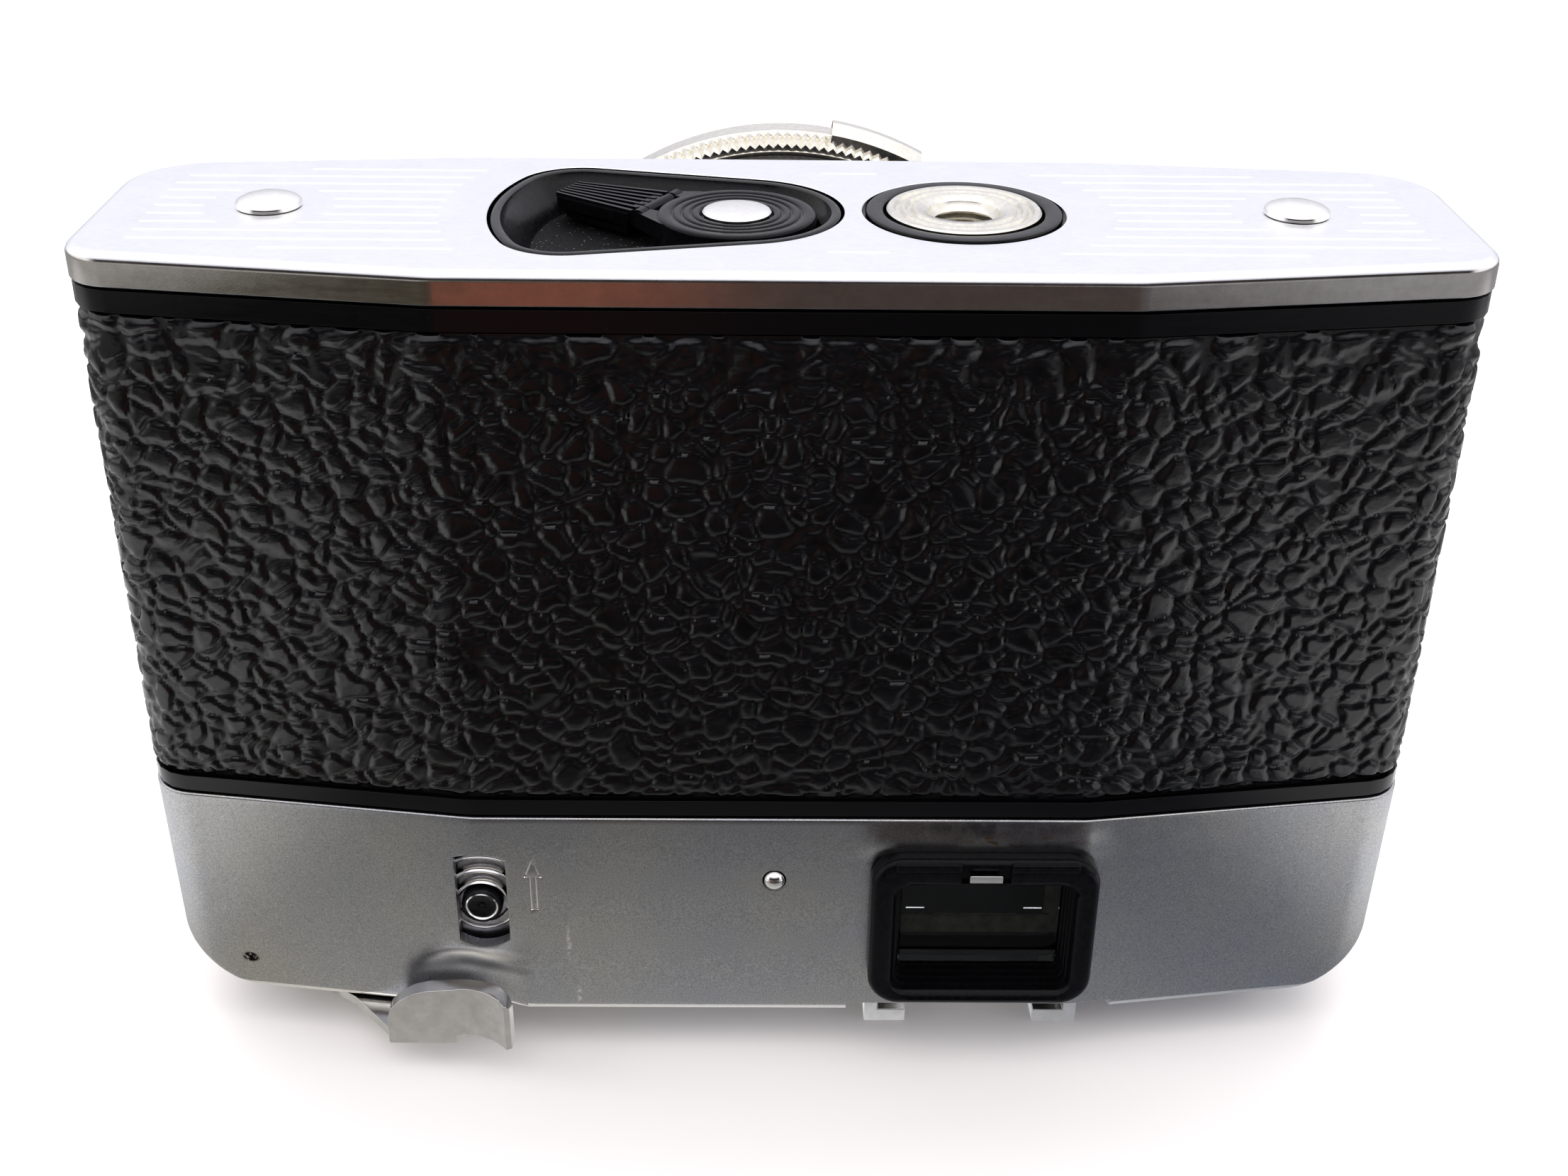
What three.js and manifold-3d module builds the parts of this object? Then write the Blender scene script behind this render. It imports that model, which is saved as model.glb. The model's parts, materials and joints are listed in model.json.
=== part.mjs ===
// Compact 35 mm viewfinder camera with a fixed lens, standing upside down on its accessory shoe and
// lever hub. Millimetres. +X is to the right seen from the back, +Y runs out of the lens, +Z runs up
// towards the base plate. The origin is the middle of the bounding box, on the resting plane.

import * as THREE from 'three';
import { mergeVertices } from 'three/addons/utils/BufferGeometryUtils.js';
import Module from 'manifold-3d';

const wasm = await Module();
wasm.setup();

// ---------------------------------------------------------------- driving dimensions, mm

// Body outline seen from above: a long octagon, its back nearer than its front.
const WIDTH = 118;
const DEPTH = 32.65;
const FACET_X = 28.4; // half length of the flat middle facets
const REAR_SWEEP = 4.3; // how far the rear side facets recede by the ends
const FRONT_SWEEP = 3.0;
const REAR_CORNER = 4.4;
const FRONT_CORNER = 7.3;
const FACET_ROUND = 9; // soft bend between middle and side facets

// Heights above the resting plane.
const COVER_LOW = 4.4; // flat face of the top cover
const SPLIT_LOW = 27.8; // rim of the top cover
const SPLIT_HIGH = 77.25; // rim of the base cover
const BASE_FACE = 80.12;
const BODY_LOW = 28.1;
const BODY_HIGH = 76.95;
const STRIP = 1.6; // height of the glossy edge strips
const LEATHER_LOW = BODY_LOW + STRIP + 0.25;
const LEATHER_HIGH = BODY_HIGH - STRIP - 0.55;

// Skins, counted inwards from the outline.
const LEATHER = 0.6;
const SHELL_OUT = 0.8; // outer face of the metal under the leather
const DOOR_IN = 1.9;
const FRAME_IN = 2.25; // body casting inside the back
const STRIP_OUT = 0.15;
const COVER_WALL = 1.2;
const GAP = 0.3;

// Axes.
const AXIS_Y = 0.3; // common line of crank, tripod socket, feet and film chambers
const LENS_Z = 52.5;
const LEVER_X = -43;
const CARTRIDGE_X = 40;
const SPROCKET = { x: -26.4, y: -5.4, r: 5.3 };
const CRANK_X = -4.1;
const CRANK_ANGLE = THREE.MathUtils.degToRad(152.5); // where the folded handle points
const TRIPOD_X = 15.5;
const FOOT_X = 44.3;
const HINGE = { x: -57.6, y: 1.3, r: 1.3 };

// Film path.
const FILM_Y = -10.9; // rear face of the film rails
const GATE = { w: 36, h: 24 };
const CARTRIDGE_R = 12.9;
const TAKE_UP_R = 11.2;
const CHAMBER = { low: 29.6, high: 75.4 };

// Rewind gears: four equal gears in one line from the crank to the fork.
const GEAR = { teeth: 13, pitch: (CARTRIDGE_X - CRANK_X) / 6, low: 74.65, high: 75.85 };

// Eyepiece and finder.
const EYE = { x0: 8.6, x1: 29.9, z0: 7.5, z1: 24.6, hole: [11.0, 27.7, 9.1, 21.5] };
const FINDER = { x0: 9.6, x1: 28.9, z0: 8.5, z1: 22.3, y0: -12.6, y1: 13.0, wall: 1 };

// Slider window in the back of the top cover.
const SLIDER = { x0: -30.2, x1: -25.7, z0: 13.0, z1: 23.1, buttonX: -28.1, buttonZ: 16.9 };

// ---------------------------------------------------------------- geometry helpers

/** A closed geometry as a solid. */
function solid(geometry) {
  const bare = geometry.index ? geometry.toNonIndexed() : geometry.clone();
  const onlyPosition = new THREE.BufferGeometry();
  onlyPosition.setAttribute('position', bare.getAttribute('position'));
  const merged = mergeVertices(onlyPosition, 1e-4);
  return new wasm.Manifold(
    new wasm.Mesh({
      numProp: 3,
      vertProperties: merged.attributes.position.array,
      triVerts: new Uint32Array(merged.index.array),
    }),
  );
}

/** A solid back as a geometry with flat shading normals. */
function geometryOf(body) {
  const mesh = body.getMesh();
  const geometry = new THREE.BufferGeometry();
  geometry.setAttribute('position', new THREE.BufferAttribute(mesh.vertProperties, 3));
  geometry.setIndex(new THREE.BufferAttribute(mesh.triVerts, 1));
  const flat = geometry.toNonIndexed();
  flat.computeVertexNormals();
  return flat;
}

/** First geometry with the others cut away. */
function cut(base, ...tools) {
  return geometryOf(tools.reduce((body, tool) => body.subtract(solid(tool)), solid(base)));
}

/** All geometries as one. */
function join(...pieces) {
  const [first, ...rest] = pieces.map(solid);
  return geometryOf(rest.reduce((body, piece) => body.add(piece), first));
}

/** What two geometries share. */
function common(a, b) {
  return geometryOf(solid(a).intersect(solid(b)));
}

/** Box between two corners. */
function box(x0, x1, y0, y1, z0, z1) {
  const geometry = new THREE.BoxGeometry(x1 - x0, y1 - y0, z1 - z0);
  return geometry.translate((x0 + x1) / 2, (y0 + y1) / 2, (z0 + z1) / 2);
}

/** Upright cylinder. */
function post(x, y, r, z0, z1, sides = 24) {
  const geometry = new THREE.CylinderGeometry(r, r, z1 - z0, sides);
  return geometry.rotateX(Math.PI / 2).translate(x, y, (z0 + z1) / 2);
}

/** Cylinder along the lens axis direction. */
function rod(x, z, r, y0, y1, sides = 24) {
  const geometry = new THREE.CylinderGeometry(r, r, y1 - y0, sides);
  return geometry.translate(x, (y0 + y1) / 2, z);
}

/** Profile of [radius, height] pairs turned about +Z through (x, y). */
function turnedUp(x, y, profile, sides = 24) {
  const points = profile.map(([r, h]) => new THREE.Vector2(r, h));
  return new THREE.LatheGeometry(points, sides).rotateX(Math.PI / 2).translate(x, y, 0);
}

/** Profile of [radius, distance] pairs turned about the lens axis. */
function turnedOnLens(profile, sides = 40) {
  const points = profile.map(([r, y]) => new THREE.Vector2(r, y));
  return new THREE.LatheGeometry(points, sides).translate(0, 0, LENS_Z);
}

/** Closed ring profile: the given pairs and the first one again. */
function loop(profile) {
  return [...profile, profile[0]];
}

/** Flat outline of points raised from z0 to z1. */
function prism(points, z0, z1) {
  return loft([
    { points, z: z0 },
    { points, z: z1 },
  ]);
}

/** Skin over a stack of level outlines with equal point counts, closed at both ends. */
function loft(levels) {
  const count = levels[0].points.length;
  const position = [];
  const index = [];
  for (const level of levels) {
    for (const p of level.points) {
      position.push(p.x, p.y, level.z);
    }
  }
  for (let k = 0; k + 1 < levels.length; k += 1) {
    for (let i = 0; i < count; i += 1) {
      const a = k * count + i;
      const b = k * count + ((i + 1) % count);
      index.push(a, b, b + count, a, b + count, a + count);
    }
  }
  const lastRing = (levels.length - 1) * count;
  for (const [i, j, k] of THREE.ShapeUtils.triangulateShape(levels[0].points, [])) {
    index.push(i, k, j);
  }
  for (const [i, j, k] of THREE.ShapeUtils.triangulateShape(levels.at(-1).points, [])) {
    index.push(lastRing + i, lastRing + j, lastRing + k);
  }
  const geometry = new THREE.BufferGeometry();
  geometry.setAttribute('position', new THREE.Float32BufferAttribute(position, 3));
  geometry.setIndex(index);
  const flat = geometry.toNonIndexed();
  flat.computeVertexNormals();
  return flat;
}

/** Points of an arc about (cx, cy), from angle a to angle b. */
function arc(cx, cy, r, a, b, steps) {
  const points = [];
  for (let i = 0; i <= steps; i += 1) {
    const t = a + ((b - a) * i) / steps;
    points.push(new THREE.Vector2(cx + r * Math.cos(t), cy + r * Math.sin(t)));
  }
  return points;
}

/** Corner at q between neighbours p and n, rounded with radius r. */
function roundCorner(p, q, n, r, steps) {
  const u = p.clone().sub(q).normalize();
  const v = n.clone().sub(q).normalize();
  const half = Math.acos(u.dot(v)) / 2;
  const centre = q.clone().addScaledVector(u.clone().add(v).normalize(), r / Math.sin(half));
  const from = q.clone().addScaledVector(u, r / Math.tan(half)).sub(centre);
  const sweep = Math.PI - 2 * half;
  return arc(centre.x, centre.y, r, from.angle(), from.angle() + sweep, steps);
}

/** Plan outline drawn `inset` inside the widest line, its ends pulled in by `ends` more. */
function outline(inset, ends = 0) {
  const endX = WIDTH / 2 - inset - ends;
  const rear = -DEPTH / 2 + inset;
  const front = DEPTH / 2 - inset;
  const reach = WIDTH / 2 - FACET_X;
  const rearAt = (x) => rear + (REAR_SWEEP * (x - FACET_X)) / reach;
  const frontAt = (x) => front - (FRONT_SWEEP * (x - FACET_X)) / reach;
  const corners = [
    { x: -FACET_X, y: rear, r: FACET_ROUND, steps: 2 },
    { x: FACET_X, y: rear, r: FACET_ROUND, steps: 2 },
    { x: endX, y: rearAt(endX), r: Math.max(REAR_CORNER - inset, 0.5), steps: 4 },
    { x: endX, y: frontAt(endX), r: Math.max(FRONT_CORNER - inset, 0.5), steps: 4 },
    { x: FACET_X, y: front, r: FACET_ROUND, steps: 2 },
    { x: -FACET_X, y: front, r: FACET_ROUND, steps: 2 },
    { x: -endX, y: frontAt(endX), r: Math.max(FRONT_CORNER - inset, 0.5), steps: 4 },
    { x: -endX, y: rearAt(endX), r: Math.max(REAR_CORNER - inset, 0.5), steps: 4 },
  ];
  const at = (i) => {
    const c = corners[(i + corners.length) % corners.length];
    return new THREE.Vector2(c.x, c.y);
  };
  return corners.flatMap((c, i) => roundCorner(at(i - 1), at(i), at(i + 1), c.r, c.steps));
}

/** Rounded rectangle in the X-Z plane, raised along +Y. */
function roundedPanel(x0, x1, z0, z1, r, y0, y1, steps = 4) {
  const quarter = Math.PI / 2;
  const points = [
    ...arc(x1 - r, -(z0 + r), r, 0, quarter, steps),
    ...arc(x0 + r, -(z0 + r), r, quarter, 2 * quarter, steps),
    ...arc(x0 + r, -(z1 - r), r, 2 * quarter, 3 * quarter, steps),
    ...arc(x1 - r, -(z1 - r), r, 3 * quarter, 4 * quarter, steps),
  ];
  return prism(points, y0, y1).rotateX(-Math.PI / 2);
}

/** Outline of the crank recess: a hub circle and a wide end struck about the hub. */
const RECESS = { hubR: 9.0, cornerR: 5.5, cornerX: -14.1, cornerY: 6.6 };
function recessOutline(inset) {
  const far = Math.hypot(RECESS.cornerX, RECESS.cornerY);
  const aim = Math.atan2(RECESS.cornerY, RECESS.cornerX);
  const tangent = aim - Math.acos((RECESS.hubR - RECESS.cornerR) / far);
  const hub = [CRANK_X, AXIS_Y];
  const corner = (side) => [CRANK_X + RECESS.cornerX, AXIS_Y + side * RECESS.cornerY];
  const full = 2 * Math.PI;
  return [
    ...arc(...hub, RECESS.hubR - inset, -tangent, tangent, 10),
    ...arc(...corner(1), RECESS.cornerR - inset, tangent, aim, 5),
    ...arc(...hub, far + RECESS.cornerR - inset, aim, full - aim, 6).slice(1, -1),
    ...arc(...corner(-1), RECESS.cornerR - inset, full - aim, full - tangent, 5),
  ];
}

/** Spur gear outline about its own centre, one tooth on +X. */
function gearOutline(teeth, pitch) {
  const module = (2 * pitch) / teeth;
  const tip = pitch + 0.8 * module;
  const root = pitch - 1.1 * module;
  const step = (2 * Math.PI) / teeth;
  const points = [];
  for (let i = 0; i < teeth; i += 1) {
    const a = i * step;
    points.push(...arc(0, 0, tip, a - 0.09 * step, a + 0.09 * step, 1));
    points.push(...arc(0, 0, root, a + 0.27 * step, a + 0.73 * step, 1));
  }
  return points;
}

/** Rewind gear with a bore, centred at (x, AXIS_Y). */
function gear(x, bore) {
  const wheel = prism(gearOutline(GEAR.teeth, GEAR.pitch), GEAR.low, GEAR.high);
  return cut(wheel, post(0, 0, bore, GEAR.low - 1, GEAR.high + 1, 12)).translate(x, AXIS_Y, 0);
}

// ---------------------------------------------------------------- materials

function metal(color, roughness) {
  return new THREE.MeshStandardMaterial({ color, roughness, metalness: 1 });
}

function plain(color, roughness) {
  return new THREE.MeshStandardMaterial({ color, roughness, metalness: 0 });
}

const camera = new THREE.Group();

function part(name, geometry, material, parent = camera) {
  const mesh = new THREE.Mesh(geometry, material);
  mesh.name = name;
  parent.add(mesh);
  return mesh;
}

// ---------------------------------------------------------------- top cover (lowest, in this pose)

const COVER_DRAFT = 0.02;
const COVER_END_ROUND = 6.5;
const COVER_EDGE_ROUND = 1.2;

/** Levels of the top cover, drawn `shrink` inside its skin and starting `lift` above its face. */
function topCoverLevels(shrink, lift, top) {
  const steps = 4;
  const levels = [];
  for (let i = 0; i <= steps; i += 1) {
    const t = (Math.PI / 2) * (i / steps);
    const z = COVER_LOW + COVER_END_ROUND * (1 - Math.cos(t));
    const ends = COVER_END_ROUND * (1 - Math.sin(t));
    const edge = Math.max(COVER_EDGE_ROUND - (z - COVER_LOW), 0);
    const round = COVER_EDGE_ROUND - Math.sqrt(COVER_EDGE_ROUND ** 2 - edge ** 2);
    const draft = COVER_DRAFT * (SPLIT_LOW - z);
    levels.push({ points: outline(draft + round + shrink, ends), z: z + lift });
  }
  levels.push({ points: outline(shrink), z: top });
  return levels;
}

const SHOE = { x0: 8.8, x1: 30.1, y0: -12, y1: 9.5, slot0: 12.9, slot1: 25.7, flange: 1.5, roof: 4.1 };
const NOTCH_TOP = 5.7;
const LEVER_HOLE_R = 3.2;
const BUTTON = { x: -20, y: 5.5, r: 4.6 };
const COUNTER = { x: -6, y: 2, r: 7.2, windowR: 2.2, windowY: -3.2 };
const PIN = { x: -0.4, z: 20.8, r: 1.0 };

function topCoverGeometry() {
  const outer = loft(topCoverLevels(0, 0, SPLIT_LOW));
  const hollow = loft(topCoverLevels(COVER_WALL, COVER_WALL, SPLIT_LOW + 1));
  const shell = cut(outer, hollow);
  const shoePad = box(5, 34, -14.2, 12, COVER_LOW + 0.6, NOTCH_TOP + 1.1);
  const thumbPad = box(-35.5, -23, -15, -13.6, COVER_LOW + 0.6, 12.4);
  const thumbScoop = new THREE.SphereGeometry(9.5, 24, 14).translate(-29.2, -24.0, 9.4);
  const notch = [
    new THREE.Vector2(6.5, -20),
    new THREE.Vector2(33, -20),
    new THREE.Vector2(30.9, 10.3),
    new THREE.Vector2(8.0, 10.3),
  ];
  return cut(
    join(shell, shoePad, thumbPad),
    prism(notch, 0, NOTCH_TOP),
    thumbScoop,
    post(LEVER_X, AXIS_Y, LEVER_HOLE_R, 0, 8),
    post(BUTTON.x, BUTTON.y, BUTTON.r + 0.3, 0, 8),
    post(COUNTER.x, COUNTER.y + COUNTER.windowY, COUNTER.windowR + 0.2, 0, 6, 24),
    box(EYE.x0 + 0.6, EYE.x1 - 0.9, -20, -10, EYE.z0 + 0.5, EYE.z1 - 1.6),
    box(FINDER.x0 + 1.9, FINDER.x1 - 1.4, 10, 20, FINDER.z0 + 2, FINDER.z1 - 1.8),
    box(SLIDER.x0, SLIDER.x1, -20, -10, SLIDER.z0, SLIDER.z1),
    rod(PIN.x, PIN.z, PIN.r + 0.15, -20, -10, 16),
  );
}

part('top_cover', topCoverGeometry(), metal('#8d8d90', 0.42));

// ---------------------------------------------------------------- base cover

const BASE_WALL = 1.1;
const BASE_EDGE = 0.6;
const TRIPOD_RING_R = 8.5;

function baseCoverGeometry() {
  const edgeSteps = 3;
  const levels = [{ points: outline(0), z: SPLIT_HIGH }];
  for (let i = 0; i <= edgeSteps; i += 1) {
    const t = (Math.PI / 2) * (i / edgeSteps);
    const z = BASE_FACE - BASE_EDGE * (1 - Math.sin(t));
    levels.push({ points: outline(BASE_EDGE * (1 - Math.cos(t))), z });
  }
  const hollow = prism(outline(BASE_WALL), SPLIT_HIGH - 1, BASE_FACE - BASE_WALL);
  return cut(
    loft(levels),
    hollow,
    prism(recessOutline(-GAP), 70, 90),
    post(TRIPOD_X, AXIS_Y, TRIPOD_RING_R + GAP, 70, 90, 36),
    post(-FOOT_X, AXIS_Y, 1.5, 70, 90, 16),
    post(FOOT_X, AXIS_Y, 1.5, 70, 90, 16),
  );
}

part('base_cover', baseCoverGeometry(), metal('#c9c9d4', 0.35));

for (const [name, x] of [['base_foot_left', -FOOT_X], ['base_foot_right', FOOT_X]]) {
  const profile = [[0, 77.6], [1.2, 77.6], [1.2, 80.4], [2.85, 80.4], [2.85, 80.7], [2.0, 81.1], [0, 81.25]];
  part(name, turnedUp(x, AXIS_Y, profile, 20), metal('#e8e8ec', 0.12));
}

// ---------------------------------------------------------------- body casting

/** Levels of the body's outer face: edge strips standing proud of the band that carries leather. */
function bodyLevels() {
  const low = BODY_LOW + STRIP;
  const high = LEATHER_HIGH + 0.25;
  return [
    { points: outline(STRIP_OUT), z: BODY_LOW },
    { points: outline(STRIP_OUT), z: low },
    { points: outline(SHELL_OUT), z: low },
    { points: outline(SHELL_OUT), z: high },
    { points: outline(STRIP_OUT), z: high },
    { points: outline(STRIP_OUT), z: BODY_HIGH },
  ];
}

const GEAR_POCKET = { low: 74.3, r: 8.4 };
const LENS_BORE = 17.6;
const KNUCKLE = { low: 36, high: 69 };
const LATCH = { y0: 4.6, y1: 9.2, z0: 46, z1: 58, travel: 3 };

function castingGeometry() {
  const front = common(loft(bodyLevels()), box(-60, 60, 0.3, 20, 20, 90));
  const rear = common(prism(outline(FRAME_IN), BODY_LOW, BODY_HIGH), box(-60, 60, -20, 1, 20, 90));
  const openRear = (x, y, r, low, high) => [
    post(x, y, r, low, high, 28),
    box(x - r, x + r, -30, y, low, high),
  ];
  const hinge = cut(
    box(-60, HINGE.x, -1, 3.4, 20, 90),
    post(HINGE.x, HINGE.y, HINGE.r, 20, 90, 24),
  );
  const hollowed = cut(
    join(front, rear),
    box(-54.5, 53.5, -30, FILM_Y + 0.5, CHAMBER.low, CHAMBER.high),
    box(-GATE.w / 2, GATE.w / 2, -20, 4, LENS_Z - GATE.h / 2, LENS_Z + GATE.h / 2),
    rod(0, LENS_Z, LENS_BORE, 2.5, 20, 32),
    ...openRear(CARTRIDGE_X, AXIS_Y, CARTRIDGE_R, 28.9, 73.6),
    ...openRear(LEVER_X, AXIS_Y, TAKE_UP_R, CHAMBER.low, CHAMBER.high),
    ...openRear(SPROCKET.x, SPROCKET.y, SPROCKET.r + 1.1, 31, 74),
    box(CRANK_X, CARTRIDGE_X, AXIS_Y - GEAR_POCKET.r, AXIS_Y + GEAR_POCKET.r, GEAR_POCKET.low, 80),
    post(CRANK_X, AXIS_Y, GEAR_POCKET.r, GEAR_POCKET.low, 80, 28),
    post(CARTRIDGE_X, AXIS_Y, GEAR_POCKET.r, GEAR_POCKET.low, 80, 28),
    prism(recessOutline(-0.4), 75.95, 80),
    post(CARTRIDGE_X, AXIS_Y, 2.5, 70, 80, 20),
    post(LEVER_X, AXIS_Y, 2.6, 20, 31, 20),
    post(LEVER_X, AXIS_Y, 1.6, 70, 76.2, 16),
    post(SPROCKET.x, SPROCKET.y, 2.3, 20, 32, 20),
    post(SPROCKET.x, SPROCKET.y, 2.3, 70, 75.2, 20),
    hinge,
    post(HINGE.x, HINGE.y, HINGE.r + 0.35, KNUCKLE.low - GAP, KNUCKLE.high + GAP, 24),
    post(HINGE.x, HINGE.y, 0.75, 29.3, 75.7, 12),
    box(-57, -56.1, -7.4, -0.7, 30.7, 74.3),
    box(55, 57, -20, -0.7, 30.7, 74.3),
    rod(0, LENS_Z, 24.6, 15.55, 20, 32),
    box(55.9, 60, LATCH.y0, LATCH.y1 + 0.2, LATCH.z0 - 0.4, LATCH.z1 + LATCH.travel + 0.4),
  );
  const rails = [38.6, 65.2, 34.6, 69.2].map((z) => box(-19.6, 24, FILM_Y, FILM_Y + 0.7, z, z + 1.2));
  const studs = [1, 2].map((k) => (
    post(CRANK_X + k * 2 * GEAR.pitch, AXIS_Y, 1.3, GEAR_POCKET.low - 0.6, 76.0, 12)
  ));
  return join(hollowed, ...rails, ...studs);
}

part('body_casting', castingGeometry(), plain('#141416', 0.3));

// ---------------------------------------------------------------- leather and hinged back

function leatherBand() {
  const inner = prism(outline(LEATHER), LEATHER_LOW - 1, LEATHER_HIGH + 1);
  return cut(prism(outline(0), LEATHER_LOW, LEATHER_HIGH), inner);
}

const BACK_FRONT_Y = -0.15; // front edge of the hinged back's side walls
const leatherMaterial = plain('#101012', 0.6);
const barrelClear = rod(0, LENS_Z, 24.8, 0, 30, 36);

part('front_leather_left', cut(
  common(leatherBand(), box(-60, 0, 3.5, 30, 20, 90)),
  barrelClear,
), leatherMaterial);
part('front_leather_right', cut(
  common(leatherBand(), box(0, 60, 0.5, 30, 20, 90)),
  barrelClear,
  box(55, 60, LATCH.y0 - 0.3, LATCH.y1 + 0.3, LATCH.z0 - 0.6, LATCH.z1 + LATCH.travel + 0.6),
), leatherMaterial);

function backDoorGeometry() {
  const behind = box(-60, 60, -30, BACK_FRONT_Y, 20, 90);
  const shell = cut(common(loft(bodyLevels()), behind), prism(outline(DOOR_IN), 20, 90));
  const knuckle = post(HINGE.x, HINGE.y, HINGE.r, KNUCKLE.low, KNUCKLE.high, 24);
  const web = box(HINGE.x - 0.45, HINGE.x + 0.45, -1, HINGE.y, KNUCKLE.low, KNUCKLE.high);
  return cut(join(shell, knuckle, web), post(HINGE.x, HINGE.y, 0.75, 20, 90, 12));
}

part('back_door', backDoorGeometry(), plain('#0c0c0e', 0.15));
part('back_leather', common(leatherBand(), box(-60, 60, -30, BACK_FRONT_Y - 0.1, 20, 90)), leatherMaterial);
part('hinge_pin', post(HINGE.x, HINGE.y, 0.62, 29.5, 75.5, 12), metal('#b0b0b4', 0.3));

const sealMaterial = plain('#0a0a0a', 0.95);
part('light_seal_hinge', box(-56.9, -56.4, -7.0, -1.0, 31, 74), sealMaterial);
part('light_seal_latch', box(56.4, 56.9, -7.0, -1.0, 31, 74), sealMaterial);
part('door_latch', join(
  box(56.3, 58.9, LATCH.y0 + 0.3, LATCH.y1 - 0.3, LATCH.z0, LATCH.z1),
  ...[0, 1, 2, 3, 4].map((i) => box(58.2, 59.0, LATCH.y0 + 0.8, LATCH.y1 - 0.8,
    LATCH.z0 + 2 + i * 1.8, LATCH.z0 + 2.8 + i * 1.8)),
), plain('#18181a', 0.35));

const PLATE = { y0: -12.3, y1: -11.3 };
part('pressure_plate', cut(
  box(-23, 26, PLATE.y0, PLATE.y1, 35.4, 69.6),
  ...[-14, 0, 14].map((x) => rod(x, LENS_Z, 1.6, -20, 0, 12)),
), plain('#1c1c1e', 0.4));

function leafSpring(halfLength, yEnds, yMiddle, thick, z0, z1) {
  const steps = 10;
  const bow = (i) => {
    const u = -1 + (2 * i) / steps;
    return new THREE.Vector2(u * halfLength, yMiddle + (yEnds - yMiddle) * u * u);
  };
  const near = Array.from({ length: steps + 1 }, (_, i) => bow(i));
  const far = near.map((p) => new THREE.Vector2(p.x, p.y + thick)).reverse();
  return prism([...near, ...far], z0, z1);
}

part('pressure_spring', leafSpring(15, -13.0, -14.2, 0.3, 48, 57), metal('#9a9a9c', 0.35));

// ---------------------------------------------------------------- tripod socket

part('tripod_plate', cut(
  box(7, 24.5, -10, 10.6, 77.3, 78.5),
  post(TRIPOD_X, AXIS_Y, 5.5, 70, 90, 32),
), metal('#8e8e90', 0.45));
part('tripod_bush', turnedUp(TRIPOD_X, AXIS_Y, loop([
  [2.5, 76.3], [5.2, 76.3], [5.2, 78.85], [6.7, 78.85], [6.7, 80.3], [6.4, 80.45], [3.2, 80.45], [2.5, 79.75],
]), 36), metal('#d8d6d0', 0.2));
part('tripod_ring', turnedUp(TRIPOD_X, AXIS_Y, loop([
  [7.0, 78.9], [TRIPOD_RING_R, 78.9], [TRIPOD_RING_R, 80.1], [8.2, 80.3], [7.0, 80.3],
]), 36), plain('#101012', 0.2));

// ---------------------------------------------------------------- rewind crank and its gears

const PAN = { low: 76.25, floor: 77.0, rim: 80.1, wall: 0.9, slope: 2.2 };

function recessPanGeometry() {
  const outer = loft([
    { points: recessOutline(PAN.slope), z: PAN.low },
    { points: recessOutline(0), z: PAN.low + 2.4 },
    { points: recessOutline(0), z: PAN.rim },
  ]);
  const hollow = loft([
    { points: recessOutline(PAN.slope + PAN.wall), z: PAN.floor },
    { points: recessOutline(PAN.wall), z: PAN.rim - 0.4 },
    { points: recessOutline(PAN.wall), z: PAN.rim + 1 },
  ]);
  const hubWell = post(CRANK_X, AXIS_Y, 7.3, PAN.floor, 90, 28);
  return cut(outer, hollow, hubWell, post(CRANK_X, AXIS_Y, 2.4, 70, 90, 20));
}

part('crank_recess', recessPanGeometry(), plain('#0d0d0f', 0.2));

const crank = new THREE.Group(); // its own +X runs along the folded handle
crank.position.set(CRANK_X, AXIS_Y, 0);
crank.rotation.z = CRANK_ANGLE;
camera.add(crank);

const CRANK = { r: 6.9, low: 77.4, top: 79.9, pinR: 7.9, pinZ: 79.3, tip: 17.2 };

function crankHubGeometry() {
  const disc = turnedUp(0, 0, [
    [0, 74.5], [1.8, 74.5], [1.8, CRANK.low], [CRANK.r, CRANK.low], [CRANK.r, CRANK.top - 0.3],
    [CRANK.r - 0.3, CRANK.top], [3.3, CRANK.top], [3.3, CRANK.top - 0.4], [0, CRANK.top - 0.4],
  ], 32);
  const ear = (side) => {
    const inner = side < 0 ? -3.4 : 2.3;
    return join(box(6, CRANK.pinR, inner, inner + 1.1, 78.3, 79.9),
      post(0, 0, 0.8, 0, 1.1, 16).rotateX(Math.PI / 2).translate(CRANK.pinR, inner + 1.1, 79.1));
  };
  const pinBore = post(0, 0, 0.36, -5, 5, 12).rotateX(Math.PI / 2).translate(CRANK.pinR, 0, CRANK.pinZ);
  return cut(join(disc, ear(-1), ear(1)), pinBore);
}

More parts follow.
